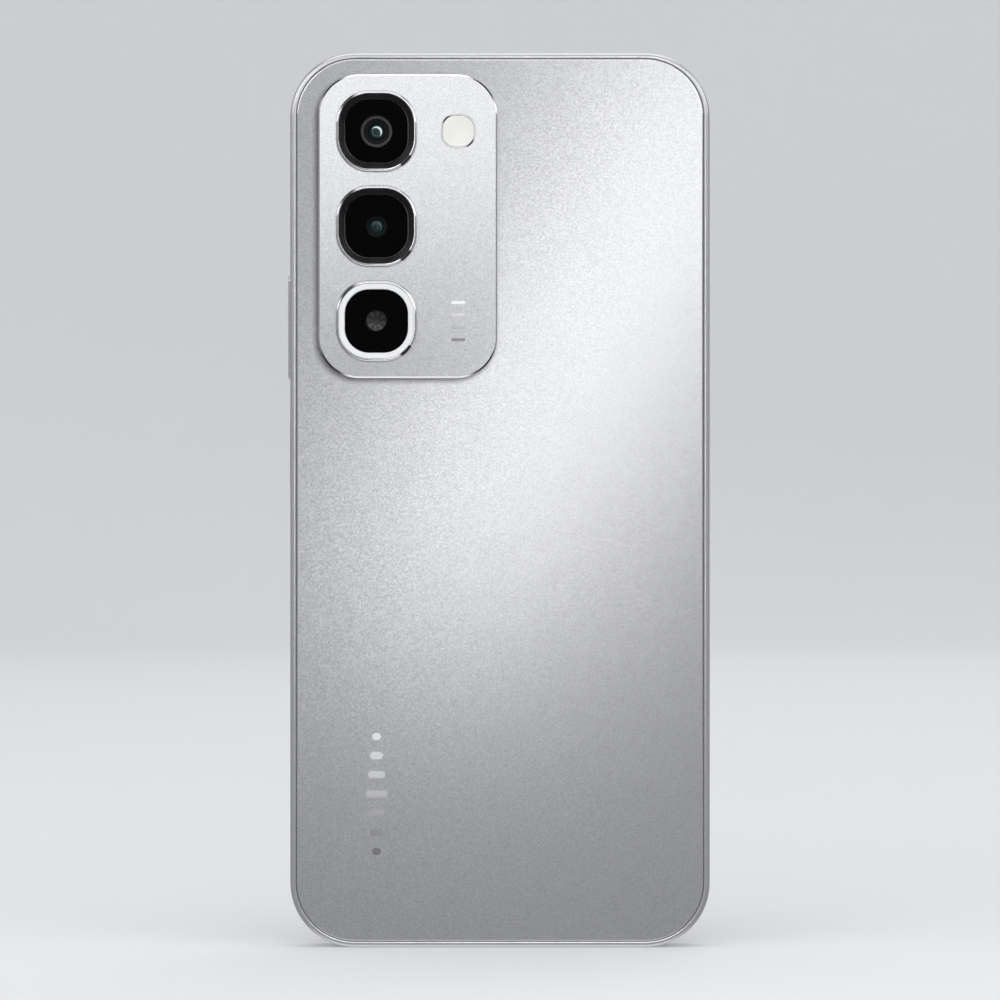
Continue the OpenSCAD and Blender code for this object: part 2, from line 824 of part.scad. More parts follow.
module tray_seal() {
    color("red") translate([half_w - door_t - 0.35, tray_y, 0]) difference() {
        side_slot(0, 0, mid_z, door_len - 1.2, door_w - 0.4, 0.35);
        translate([-1, -tray_w / 2 - 0.02, tray_z - 0.02]) cube([4, tray_w + 0.04, 1.54]);
        translate([-1, pin_y - tray_y, mid_z]) rotate([0, 90, 0]) cylinder(h = 6, r = pin_hole_r);
    }
}

module card_reader() {
    x = [tray_inner_x - 0.8, half_w - frame_wall - 0.9];
    y = [tray_y - tray_w / 2 - 0.4, tray_y + tray_w / 2 + 0.4];
    color("silver") difference() {
        block(x, y, [plate_top + 0.1, board_z]);
        block([x[0] - 1, x[1] + 1], [y[0] + 0.25, y[1] - 0.25], [plate_top + 0.3, board_z + 1]);
    }
}

// Push rod behind the pin hole, whose inner end bears on the lever.
module eject_rod() {
    color("gold") translate([rod_end_x, pin_y, mid_z - 0.55]) rotate([0, 90, 0])
        cylinder(h = rod_tip_x - rod_end_x, r = rod_r);
}

// Lever that turns on its pin, one end against the rod and the other behind the tray's inner end.
module eject_lever() {
    color("gold") translate([lever_x, lever_pivot_y, 0]) {
        translate([-lever_w / 2, -lever_reach, lever_z])
            cube([lever_w, lever_reach + pin_y - lever_pivot_y + rod_r, lever_t]);
        translate([0, 0, plate_top]) cylinder(h = lever_z + lever_t - plate_top + 0.1, r = 0.35);
        translate([0, 0, lever_z]) cylinder(h = lever_t, r = 0.8);
    }
}

// ---- The nodes ----

upright() side_frame();
upright() mid_plate();
upright() display_glass();
upright() display_panel();
upright() backlight_unit();
upright() display_adhesive();
upright() display_flex();
upright() earpiece_mesh();
upright() earpiece_speaker();
upright() front_camera();
upright() rear_cover();
upright() cover_adhesive();
upright() camera_island();
upright() lens_trim(0);  // lens_trim_upper
upright() lens_trim(1);  // lens_trim_middle
upright() lens_trim(2);  // lens_trim_lower
upright() lens_bezel(0, "dimgray");  // lens_bezel_upper
upright() lens_bezel(1, "dimgray");  // lens_bezel_middle
upright() lens_bezel(2, "white");  // light_ring
upright() lens_glass(0);  // lens_glass_upper
upright() lens_glass(1);  // lens_glass_middle
upright() lens_glass(2);  // lens_glass_lower
upright() main_camera();
upright() focus_barrel();
upright() second_camera();
upright() accent_lens();
upright() light_ring_board();
upright() flash_lens();
upright() flash_led();
upright() light_sensor();
upright() main_board();
upright() processor_shield();
upright() radio_shield();
upright() board_cover();
upright() battery();
upright() battery_strap();
upright() graphite_sheet();
upright() sub_board();
upright() usb_shell();
upright() usb_tongue();
upright() usb_seal();
upright() loudspeaker();
upright() speaker_diaphragm();
upright() speaker_mesh();
upright() speaker_cover();
upright() vibration_motor();
upright() vibration_weight();
upright() microphones();
upright() main_flex();
upright() antenna_cable();
upright() volume_key();
upright() power_key();
upright() fingerprint_sensor();
upright() key_switches();
upright() card_tray();
upright() tray_seal();
upright() card_reader();
upright() eject_rod();
upright() eject_lever();
upright() screws();
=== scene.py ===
"""The looks of a slim smartphone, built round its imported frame: casing, camera island, display and studio."""

import json
import math

import bmesh
import bpy
from mathutils import Matrix, Vector


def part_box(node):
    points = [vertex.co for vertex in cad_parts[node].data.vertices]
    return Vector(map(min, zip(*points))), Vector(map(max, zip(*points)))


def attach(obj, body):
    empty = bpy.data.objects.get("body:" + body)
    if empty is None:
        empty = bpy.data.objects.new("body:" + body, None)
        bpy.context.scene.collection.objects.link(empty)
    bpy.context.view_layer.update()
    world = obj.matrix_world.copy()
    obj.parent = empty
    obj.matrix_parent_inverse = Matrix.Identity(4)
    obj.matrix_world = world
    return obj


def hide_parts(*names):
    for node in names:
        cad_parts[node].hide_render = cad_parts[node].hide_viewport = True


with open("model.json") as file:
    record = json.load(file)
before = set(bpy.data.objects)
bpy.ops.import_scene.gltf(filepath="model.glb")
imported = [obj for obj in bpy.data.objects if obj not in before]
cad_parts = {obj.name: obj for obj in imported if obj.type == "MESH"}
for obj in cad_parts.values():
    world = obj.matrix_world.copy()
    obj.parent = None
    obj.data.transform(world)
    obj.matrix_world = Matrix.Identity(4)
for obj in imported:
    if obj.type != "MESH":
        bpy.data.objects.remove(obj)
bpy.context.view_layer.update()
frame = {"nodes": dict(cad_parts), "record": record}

bl_info = {
    "name": "Smartphone",
    "version": (1, 0, 0),
    "blender": (4, 5, 0),
    "location": "3D View > Sidebar > Smartphone",
    "description": "Builds the visible pieces of a slim smartphone round its frame",
    "category": "Object",
}

MM = 0.001
BODY = "phone"
CORNER_STEPS = 24
ROUND_STEPS = 72
EDGE_STEPS = 6
SMOOTH_ANGLE = math.radians(33)
MERGE = 5e-7
FLAKE = 0.16 * MM
BREAK = 0.06 * MM   # the tiny flat or round that breaks a sharp edge
SLIVER = 1e-7       # keeps the radius of a round end just under half its width
LENS_TRIMS = ("lens_trim_upper", "lens_trim_middle", "lens_trim_lower")
LENS_BEZELS = ("lens_bezel_upper", "lens_bezel_middle", "light_ring")
LENS_GLASSES = ("lens_glass_upper", "lens_glass_middle", "lens_glass_lower")


# ---- Places and sizes taken from the frame ----

class Extent:
    """Where a node of the frame lies: its lowest and highest corner, centre and size."""

    def __init__(self, node):
        self.lo, self.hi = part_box(node)
        self.centre = (self.lo + self.hi) / 2
        self.size = self.hi - self.lo

    @property
    def place(self):
        """The middle, seen from the rear, on the plane halfway through the body."""
        return (self.centre.x, 0, self.centre.z)

    @property
    def rear(self):
        """Height of the rear side, counted from the body's middle out of the rear cover."""
        return -self.lo.y

    @property
    def front(self):
        return -self.hi.y


# Each way a piece can face: the turn that takes -Y there.
FACING = {
    "rear": Matrix.Identity(3),
    "front": Matrix.Rotation(math.pi, 3, "Z"),
    "left": Matrix.Rotation(-math.pi / 2, 3, "Z"),
    "right": Matrix.Rotation(math.pi / 2, 3, "Z"),
    "down": Matrix.Rotation(math.pi / 2, 3, "X"),
    "up": Matrix.Rotation(-math.pi / 2, 3, "X"),
}


# ---- Mesh helpers ----

def arc(centre, radius, start, end, steps=EDGE_STEPS):
    """Points of an edge profile on a round stretch, between two angles in degrees."""
    angles = [math.radians(start + (end - start) * i / steps) for i in range(steps + 1)]
    return [(centre[0] + radius * math.cos(a), centre[1] + radius * math.sin(a)) for a in angles]


def profile_edges(bm, profile, at, closed):
    """Draws a profile of (out, lift) points. Out runs along X and lift along -Y, from a place in XZ."""
    verts = [bm.verts.new((at[0] + out, -lift, at[1])) for out, lift in profile]
    pairs = list(zip(verts, verts[1:]))
    if closed:
        pairs.append((verts[-1], verts[0]))
    return [bm.edges.new(pair) for pair in pairs]


def ends(edges):
    """The vertices of some edges, each once and always in the same order."""
    return list(dict.fromkeys(v for e in edges for v in e.verts))


def spin(bm, edges, centre, angle, steps):
    verts = ends(edges)
    swung = bmesh.ops.spin(
        bm, geom=verts + edges, cent=(centre[0], 0, centre[1]), axis=(0, -1, 0), dvec=(0, 0, 0),
        angle=angle, steps=steps, use_merge=False, use_normal_flip=False, use_duplicate=False,
    )
    return [e for e in swung["geom_last"] if isinstance(e, bmesh.types.BMEdge)]


def push(bm, edges, vector):
    made = bmesh.ops.extrude_edge_only(bm, edges=edges)["geom"]
    verts = [v for v in made if isinstance(v, bmesh.types.BMVert)]
    bmesh.ops.translate(bm, verts=verts, vec=vector)
    return [e for e in made if isinstance(e, bmesh.types.BMEdge) and all(v in verts for v in e.verts)]


def close_up(bm):
    bmesh.ops.remove_doubles(bm, verts=bm.verts, dist=MERGE)
    bmesh.ops.dissolve_degenerate(bm, edges=bm.edges, dist=MERGE)
    open_edges = [e for e in bm.edges if e.is_boundary]
    if open_edges:
        bmesh.ops.holes_fill(bm, edges=open_edges, sides=0)
    bmesh.ops.recalc_face_normals(bm, faces=bm.faces)
    return bm


def swept(profile, width, height, radius, closed=False, steps=CORNER_STEPS):
    """A profile carried round a rounded rectangle. Its out is counted from the corners' centres.
    An open profile is capped at both ends, which makes a slab."""
    bm = bmesh.new()
    x, z = width / 2 - radius, height / 2 - radius
    edges = profile_edges(bm, profile, (x, -z), closed)
    corners = [(x, z), (-x, z), (-x, -z), (x, -z)]
    runs = [(0, 0, 2 * z), (-2 * x, 0, 0), (0, 0, -2 * z), (2 * x, 0, 0)]
    for corner, run in zip(corners, runs):
        if Vector(run).length > MERGE:
            edges = push(bm, edges, run)
        edges = spin(bm, edges, corner, math.pi / 2, steps)
    return close_up(bm)


def turned(profile, steps=ROUND_STEPS):
    """A profile of (radius, lift) points turned once round Y."""
    bm = bmesh.new()
    edges = profile_edges(bm, profile, (0, 0), False)
    spin(bm, edges, (0, 0), 2 * math.pi, steps)
    return close_up(bm)


def slab(width, height, radius, low, high, edge=0.0, steps=CORNER_STEPS, chamfer=False):
    """A rounded plate between two lifts, with its outer rim rounded or chamfered."""
    profile = [(radius, low)]
    if edge and chamfer:
        profile += [(radius, high - edge), (radius - edge, high)]
    elif edge:
        profile += arc((radius - edge, high - edge), edge, 0, 90)
    else:
        profile += [(radius, high)]
    return swept(profile, width, height, radius, steps=steps)


def full_round(width):
    """The corner radius that makes the ends of a plate this wide round."""
    return width / 2 - SLIVER


def pin(radius, low, high, steps=ROUND_STEPS):
    return turned([(0, low), (radius, low), (radius, high), (0, high)], steps=steps)


def box_shape(size, centre, edge=0.0):
    bm = bmesh.new()
    bmesh.ops.create_cube(bm, size=1)
    bmesh.ops.scale(bm, vec=size, verts=bm.verts)
    bmesh.ops.translate(bm, vec=centre, verts=bm.verts)
    if edge:
        bmesh.ops.bevel(
            bm, geom=bm.edges[:], offset=edge, offset_type="OFFSET", segments=3, profile=0.5,
            affect="EDGES", material=-1, clamp_overlap=True,
        )
    return bm


def placed(bm, facing="rear", at=(0, 0, 0)):
    """Turns a shape to face a side of the phone and moves it there."""
    bmesh.ops.transform(bm, matrix=Matrix.Translation(at) @ FACING[facing].to_4x4(), verts=bm.verts)
    return bm


def gathered(shapes):
    """Several shapes in one."""
    whole = bmesh.new()
    for bm in shapes:
        mesh = bpy.data.meshes.new("part")
        bm.to_mesh(mesh)
        bm.free()
        whole.from_mesh(mesh)
        bpy.data.meshes.remove(mesh)
    return whole


def as_object(name, bm):
    mesh = bpy.data.meshes.new(name)
    bm.to_mesh(mesh)
    bm.free()
    obj = bpy.data.objects.new(name, mesh)
    bpy.context.scene.collection.objects.link(obj)
    return obj


def carved(bm, tools, how="DIFFERENCE"):
    """The shape after the tools are cut out of it, or joined to it."""
    target, tool = as_object("target", bm), as_object("tool", tools)
    step = target.modifiers.new("carve", "BOOLEAN")
    step.operation, step.solver, step.object = how, "EXACT", tool
    bpy.context.view_layer.update()
    result = bmesh.new()
    result.from_object(target, bpy.context.evaluated_depsgraph_get())
    for obj in (target, tool):
        mesh = obj.data
        bpy.data.objects.remove(obj)
        bpy.data.meshes.remove(mesh)
    bmesh.ops.remove_doubles(result, verts=result.verts, dist=MERGE)
    return result


def paint_faces(bm, index, test):
    for face in bm.faces:
        if test(face):
            face.material_index = index
    return bm


def finished(name, bm, materials, nodes=(), body=BODY):
    """Makes a piece of the phone from a shape."""
    obj = as_object(name, bm)
    for material in materials:
        obj.data.materials.append(material)
    obj.data.shade_smooth()
    obj.data.set_sharp_from_angle(angle=SMOOTH_ANGLE)
    even = obj.modifiers.new("even_shading", "WEIGHTED_NORMAL")
    even.keep_sharp = True
    even.weight = 80
    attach(obj, body)
    if nodes:
        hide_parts(*nodes)
    return obj


# ---- Finishes ----

def new_material(name):
    material = bpy.data.materials.new(name)
    material.use_nodes = True
    shader = material.node_tree.nodes["Principled BSDF"]
    return material, material.node_tree, shader


def link(tree, source, target):
    tree.links.new(source, target)


def grain(tree, size, detail=3.0, kind="noise"):
    """A texture whose features have a size in metres, on the piece's own coordinates."""
    coordinates = tree.nodes.new("ShaderNodeTexCoord")
    texture = tree.nodes.new("ShaderNodeTexNoise" if kind == "noise" else "ShaderNodeTexVoronoi")
    texture.inputs["Scale"].default_value = 1 / size
    if kind == "noise":
        texture.inputs["Detail"].default_value = detail
    link(tree, coordinates.outputs["Object"], texture.inputs["Vector"])
    return texture


def feed(tree, socket, value):
    """Sets a socket to a constant, or links it to the socket that is given."""
    if isinstance(value, bpy.types.NodeSocket):
        link(tree, value, socket)
    else:
        socket.default_value = value


def ranged(tree, value, start, end, first, last, smooth=False):
    """A value that goes from first to last while its input goes from start to end."""
    node = tree.nodes.new("ShaderNodeMapRange")
    if smooth:
        node.interpolation_type = "SMOOTHSTEP"
    link(tree, value, node.inputs["Value"])
    for socket, number in (("From Min", start), ("From Max", end), ("To Min", first), ("To Max", last)):
        node.inputs[socket].default_value = number
    return node.outputs["Result"]


def shade(tree, factor, dark, light):
    """Mixes two colours by a value. Each colour is a triple or a socket."""
    node = tree.nodes.new("ShaderNodeMix")
    node.data_type = "RGBA"
    for name, tone in (("A", dark), ("B", light)):
        feed(tree, node.inputs[name], tone if isinstance(tone, bpy.types.NodeSocket) else (*tone, 1))
    link(tree, factor, node.inputs["Factor"])
    return node.outputs["Result"]


def bump(tree, shader, height, depth):
    node = tree.nodes.new("ShaderNodeBump")
    node.inputs["Distance"].default_value = depth
    node.inputs["Strength"].default_value = 1.0
    link(tree, height, node.inputs["Height"])
    link(tree, node.outputs["Normal"], shader.inputs["Normal"])


def scaled(colour, factor):
    return tuple(min(1.0, c * factor) for c in colour)


def surface(name, colour, roughness, metallic=0.0, size=0.4 * MM, contrast=0.12, rough_spread=0.06,
            depth=0.0, coat=0.0, specular=0.5, kind="noise"):
    """A finish with fine colour and roughness variation, and grain of a given depth."""
    material, tree, shader = new_material(name)
    texture = grain(tree, size, kind=kind)
    value = texture.outputs["Fac"] if kind == "noise" else texture.outputs["Distance"]
    link(tree, shade(tree, value, scaled(colour, 1 - contrast), scaled(colour, 1 + contrast)),
         shader.inputs["Base Color"])
    link(tree, ranged(tree, value, 0, 1, roughness - rough_spread, roughness + rough_spread),
         shader.inputs["Roughness"])
    shader.inputs["Metallic"].default_value = metallic
    shader.inputs["Specular IOR Level"].default_value = specular
    if coat:
        shader.inputs["Coat Weight"].default_value = coat
        shader.inputs["Coat Roughness"].default_value = 0.04
    if depth:
        bump(tree, shader, value, depth)
    return material


def operation(tree, kind, name, *values):
    """A maths node whose inputs are sockets or constants."""
    node = tree.nodes.new("ShaderNodeVectorMath" if kind == "vector" else "ShaderNodeMath")
    node.operation = name
    for socket, value in zip(node.inputs, values):
        feed(tree, socket, value)
    return node


def along_height(tree, low, high, first, last):
    """A value that changes evenly between two heights."""
    coordinates = tree.nodes.new("ShaderNodeTexCoord")
    split = tree.nodes.new("ShaderNodeSeparateXYZ")
    link(tree, coordinates.outputs["Object"], split.inputs["Vector"])
    return ranged(tree, split.outputs["Z"], low, high, first, last)


def beside(tree, centre, size, radius, width, dark):
    """Falls from 1 to a dark value close round a rounded rectangle, as soft shade under a raised plate."""
    coordinates = tree.nodes.new("ShaderNodeTexCoord")
    flat = operation(tree, "vector", "MULTIPLY", coordinates.outputs["Object"], (1, 0, 1))
    away = operation(tree, "vector", "SUBTRACT", flat.outputs["Vector"], (centre[0], 0, centre[1]))
    mirrored = operation(tree, "vector", "ABSOLUTE", away.outputs["Vector"])
    inset = operation(tree, "vector", "SUBTRACT", mirrored.outputs["Vector"],
                      (size[0] / 2 - radius, 0, size[1] / 2 - radius))
    outside = operation(tree, "vector", "MAXIMUM", inset.outputs["Vector"], (0, 0, 0))
    reach = operation(tree, "vector", "LENGTH", outside.outputs["Vector"])
    return ranged(tree, reach.outputs["Value"], radius - 0.4 * width, radius + 0.6 * width, dark, 1, smooth=True)


def satin_sparkle(name, colour, roughness, metallic, tilt, contrast=0.12, lean=None, shadow=None):
    """A silver coating full of flakes, each a little brighter or darker and a little tilted.
    The lean bends its shine between two heights, and the shadow darkens it beside a raised plate."""
    material, tree, shader = new_material(name)
    flakes = grain(tree, FLAKE, kind="flakes")
    haze = grain(tree, 6 * MM, detail=2.0)
    split = tree.nodes.new("ShaderNodeSeparateColor")
    link(tree, flakes.outputs["Color"], split.inputs["Color"])
    base = shade(tree, split.outputs["Red"], scaled(colour, 1 - contrast), scaled(colour, 1 + contrast))
    if shadow:
        base = operation(tree, "vector", "SCALE", base)
        link(tree, beside(tree, **shadow), base.inputs["Scale"])
        base = base.outputs["Vector"]
    link(tree, base, shader.inputs["Base Color"])
    link(tree, ranged(tree, haze.outputs["Fac"], 0, 1, roughness - 0.01, roughness + 0.01),
         shader.inputs["Roughness"])
    centred = operation(tree, "vector", "MULTIPLY_ADD", flakes.outputs["Color"], (2 * tilt,) * 3, (-tilt,) * 3)
    geometry = tree.nodes.new("ShaderNodeNewGeometry")
    leaning = operation(tree, "vector", "ADD", geometry.outputs["Normal"], centred.outputs["Vector"])
    if lean:
        bent = tree.nodes.new("ShaderNodeCombineXYZ")
        bent.inputs["X"].default_value = lean["aside"]
        link(tree, along_height(tree, lean["low"], lean["high"], lean["first"], lean["last"]), bent.inputs["Z"])
        leaning = operation(tree, "vector", "ADD", leaning.outputs["Vector"], bent.outputs["Vector"])
    level = operation(tree, "vector", "NORMALIZE", leaning.outputs["Vector"])
    link(tree, level.outputs["Vector"], shader.inputs["Normal"])
    shader.inputs["Metallic"].default_value = metallic
    return material


def foil_with_painted_sheen(name, colour, low, high):
    """Printed foil with a painted sheen: its colour is darker at its lower end and paler at its upper end, as light
    falls on it.
    """
    material, tree, shader = new_material(name)
    # painted sheen: colour from dark low down to pale high up, with a little speckle mixed in
    level = along_height(tree, low, high, 0, 1)
    speckle = grain(tree, 0.15 * MM)
    speckle_and_painted_sheen = operation(tree, "number", "MULTIPLY_ADD", speckle.outputs["Fac"], 0.12, level)
    link(tree, shade(tree, speckle_and_painted_sheen.outputs["Value"], scaled(colour, 0.07), scaled(colour, 1.2)),
         shader.inputs["Base Color"])
    shader.inputs["Roughness"].default_value = 0.3
    shader.inputs["Metallic"].default_value = 0.35
    return material


def woven(name, colour, pitch=0.14 * MM):
    """Fine acoustic mesh: crossed waves that give holes between threads."""
    material, tree, shader = new_material(name)
    coordinates = tree.nodes.new("ShaderNodeTexCoord")
    waves = []
    for direction in ("X", "Z"):
        wave = tree.nodes.new("ShaderNodeTexWave")
        wave.bands_direction = direction
        wave.inputs["Scale"].default_value = 0.314 / pitch
        link(tree, coordinates.outputs["Object"], wave.inputs["Vector"])
        waves.append(wave.outputs["Fac"])
    height = operation(tree, "number", "MAXIMUM", *waves).outputs["Value"]
    link(tree, shade(tree, height, scaled(colour, 0.2), scaled(colour, 1.6)), shader.inputs["Base Color"])
    shader.inputs["Roughness"].default_value = 0.7
    shader.inputs["Metallic"].default_value = 0.3
    bump(tree, shader, height, 0.05 * MM)
    return material


def disc(tree, centre, radius, soft):
    """1 inside a circle seen from the rear and 0 outside, with a soft rim."""
    coordinates = tree.nodes.new("ShaderNodeTexCoord")
    flat = operation(tree, "vector", "MULTIPLY", coordinates.outputs["Object"], (1, 0, 1))
    away = operation(tree, "vector", "DISTANCE", flat.outputs["Vector"], (centre[0], 0, centre[1]))
    return ranged(tree, away.outputs["Value"], radius - soft, radius + soft, 1, 0, smooth=True)


def crescent(tree, centre, radius, shift, soft):
    """The part of a disc that a second, shifted disc leaves free."""
    whole = disc(tree, centre, radius, soft)
    cover = disc(tree, (centre[0] - shift, centre[1] - shift), radius, soft)
    free = operation(tree, "number", "SUBTRACT", 1.0, cover)
    return operation(tree, "number", "MULTIPLY", whole, free.outputs["Value"]).outputs["Value"]


def coated_glass(name, colour, tint, size, centre, painted_glint_strength, roughness=0.16):
    """A lens face: dark glass whose coating shows a tint that changes slowly over it, and two painted highlights:
    crescents that glow by emission where light would be caught in the elements below it."""
    material, tree, shader = new_material(name)
    cloud = grain(tree, size, detail=1.0)
    # painted highlights: two crescents that glow by emission, the lower one dimmer
    upper = crescent(tree, centre, 1.0 * MM, 0.27 * MM, 0.08 * MM)
    lower = crescent(tree, centre, 0.85 * MM, -0.14 * MM, 0.1 * MM)
    dim = operation(tree, "number", "MULTIPLY", lower, 0.1)
    painted_crescents = operation(tree, "number", "ADD", upper, dim.outputs["Value"])
    strength = operation(tree, "number", "MULTIPLY", painted_crescents.outputs["Value"], painted_glint_strength)
    shader.inputs["Emission Color"].default_value = (0.86, 0.97, 0.95, 1)
    link(tree, strength.outputs["Value"], shader.inputs["Emission Strength"])
    link(tree, shade(tree, cloud.outputs["Fac"], colour, tint), shader.inputs["Base Color"])
    shader.inputs["Roughness"].default_value = roughness
    shader.inputs["Specular IOR Level"].default_value = 0.3
    return material


def polished_with_painted_reflections(name, colour, roughness, painted_dark_spots):
    """Bright polished metal with painted reflections: dark spots painted into its colour, where a curving edge
    would show its dark surroundings.
    Each spot is a centre seen from the rear, a radius and the softness of its rim."""
    material = surface(name, colour, roughness, metallic=1.0, contrast=0.03)
    tree = material.node_tree
    target = tree.nodes["Principled BSDF"].inputs["Base Color"]
    bright, painted_reflection_mask = target.links[0].from_socket, 0.0
    # painted reflections: each spot darkens the colour inside a soft disc
    for centre, radius, soft in painted_dark_spots:
        painted_reflection_mask = operation(tree, "number", "MAXIMUM", disc(tree, centre, radius, soft), painted_reflection_mask).outputs["Value"]
    link(tree, shade(tree, painted_reflection_mask, bright, scaled(colour, 0.08)), target)
    return material


def corner_point(node, radius, across, up):
    """Middle of a rounded corner's arc on the outline of a node seen from the rear."""
    reach = radius * (1 - math.sqrt(0.5))
    return (node.centre.x + across * (node.size.x / 2 - reach), node.centre.z + up * (node.size.z / 2 - reach))


# ---- Settings ----

def length(label, text, millimetres):
    return bpy.props.FloatProperty(
        name=label, description=text, default=millimetres * MM, min=0, unit="LENGTH", precision=5,
    )


def colour(label, text, value):
    return bpy.props.FloatVectorProperty(
        name=label, description=text, default=value, size=3, min=0, max=1, subtype="COLOR",
    )


class CasingSettings(bpy.types.PropertyGroup):
    corner_radius: length("Corner radius", "Radius of the body's corners seen from the rear", 12)
    rear_edge: length("Rear edge", "Roundover along the frame's rear edge", 0.85)
    front_edge: length("Front edge", "Roundover along the frame's display edge", 0.72)
    wall: length("Wall", "Thickness of the frame's wall", 1.9)
    rim: length("Rim", "Width of the frame's rim round the rear cover", 1.03)
    ledge: length("Ledge", "How far the ledge under the rear cover reaches in", 2.8)
    cover_edge: length("Cover edge", "Polished bevel along the rear cover", 0.24)
    mark_height: length("Mark height", "Height of the plain mark's middle", 28.5)
    mark_width: length("Mark width", "Width of the mark's longest bar", 4.1)
    mark_bar: length("Mark bar", "Thickness of each bar of the mark", 1.3)
    mark_pitch: length("Mark pitch", "Distance between the mark's bars", 3.55)
    silver: colour("Silver", "Colour of the satin coating", (0.62, 0.625, 0.64))
    frame_silver: colour("Frame silver", "Colour of the side frame", (0.66, 0.665, 0.675))
    mark_silver: colour("Mark", "Colour of the plain foil mark on the cover", (0.8, 0.8, 0.81))


class CameraSettings(bpy.types.PropertyGroup):
    island_radius: length("Island corner", "Corner radius of the camera island", 7.6)
    island_edge: length("Island edge", "Polished chamfer round the camera island", 0.3)
    island_lip: length("Island lip", "How far the island overlaps the rear cover", 1.6)
    well_half: length("Lens well", "Half the width of the opening under a lens window", 5.3)
    lens_radius: length("Lens corner", "Corner radius of the squarish lens rings", 6.2)
    trim_band: length("Trim", "Width of the polished trim round a lens", 0.5)
    barrel_radius: length("Main barrel", "Radius of the main camera's barrel", 3.0)
    second_radius: length("Second barrel", "Radius of the second camera's barrel", 2.1)
    accent_radius: length("Small lens", "Radius of the small lens in the light ring", 1.9)
    flash_radius: length("Flash corner", "Corner radius of the flash window", 2.38)
    flash_trim: length("Flash trim", "Width of the polished trim round the flash", 0.24)
    collar: colour("Collar", "Colour of the dark collars round the windows", (0.011, 0.011, 0.012))
    diffuser: colour("Light ring", "Colour of the light ring's diffuser", (0.8, 0.805, 0.815))
    coating: colour("Coating", "Tint of the lens coatings", (0.012, 0.06, 0.065))
    flash_white: colour("Flash", "Colour of the flash window", (0.86, 0.855, 0.81))


class SideSettings(bpy.types.PropertyGroup):
    key_width: length("Key width", "Width of the side keys", 2.4)
    key_gap: length("Key gap", "Gap round a key", 0.12)
    door_gap: length("Door gap", "Gap round the card tray's door", 0.06)
    door_depth: length("Door depth", "Thickness of the card tray's door", 1.5)
    flare: length("Flare", "Softened edge of the openings in the frame", 0.12)
    port_wall: length("Port wall", "Wall of the charging port's shell", 0.3)
    port_width: length("Port width", "Width of the charging port's shell", 8.94)
    port_height: length("Port height", "Height of the charging port's shell", 3.16)
    hole_radius: length("Speaker hole", "Radius of a loudspeaker hole", 0.55)
    hole_pitch: length("Speaker pitch", "Distance between loudspeaker holes", 2.3)
    microphone_radius: length("Microphone hole", "Radius of a microphone hole", 0.45)
    pin_radius: length("Pin hole", "Radius of the hole for the tray's eject pin", 0.45)


class DisplaySettings(bpy.types.PropertyGroup):
    side_border: length("Side border", "Black border beside the picture", 1.9)
    top_border: length("Top border", "Black border above the picture", 2.1)
    chin: length("Chin", "Black border below the picture", 4.2)
    hole_radius: length("Camera hole", "Radius of the opening for the front camera", 1.75)
    glass_edge: length("Glass edge", "Roundover of the display glass", 0.35)
    border: colour("Border", "Colour of the glass round the picture", (0.004, 0.004, 0.005))
    picture: colour("Picture", "Colour of the switched-off picture", (0.012, 0.013, 0.018))


class StudioSettings(bpy.types.PropertyGroup):
    backdrop: colour("Backdrop", "Colour of the floor and backdrop", (0.72, 0.725, 0.735))
    ambient: colour("Ambient", "Colour of the even light from all round", (0.3, 0.302, 0.308))
    focal: bpy.props.FloatProperty(name="Lens", description="Focal length of the camera", default=150,
                                   min=20, unit="CAMERA")
    share: bpy.props.FloatProperty(name="Share", description="Share of the picture's height that the phone fills",
                                   default=0.894, min=0.1, max=1, subtype="FACTOR")


SETTINGS = {
    "phone_casing": CasingSettings,
    "phone_camera": CameraSettings,
    "phone_sides": SideSettings,
    "phone_display": DisplaySettings,
    "phone_studio": StudioSettings,
}


# ---- Casing ----

def slot_plug(width, height, surface_lift, flare):
    """A slot with round ends, open above a surface and flared where it meets it."""
    r = min(width, height) / 2 - 1e-7
    profile = [(r, surface_lift - 4 * MM), (r, surface_lift - flare), (r + 2 * flare, surface_lift + flare)]
    return swept(profile, width, height, r, steps=16)


def round_plug(radius, surface_lift, depth, flare):
    profile = [(0, surface_lift - depth), (radius, surface_lift - depth), (radius, surface_lift - flare),
               (radius + 2 * flare, surface_lift + flare), (0, surface_lift + flare)]
    return turned(profile, steps=32)


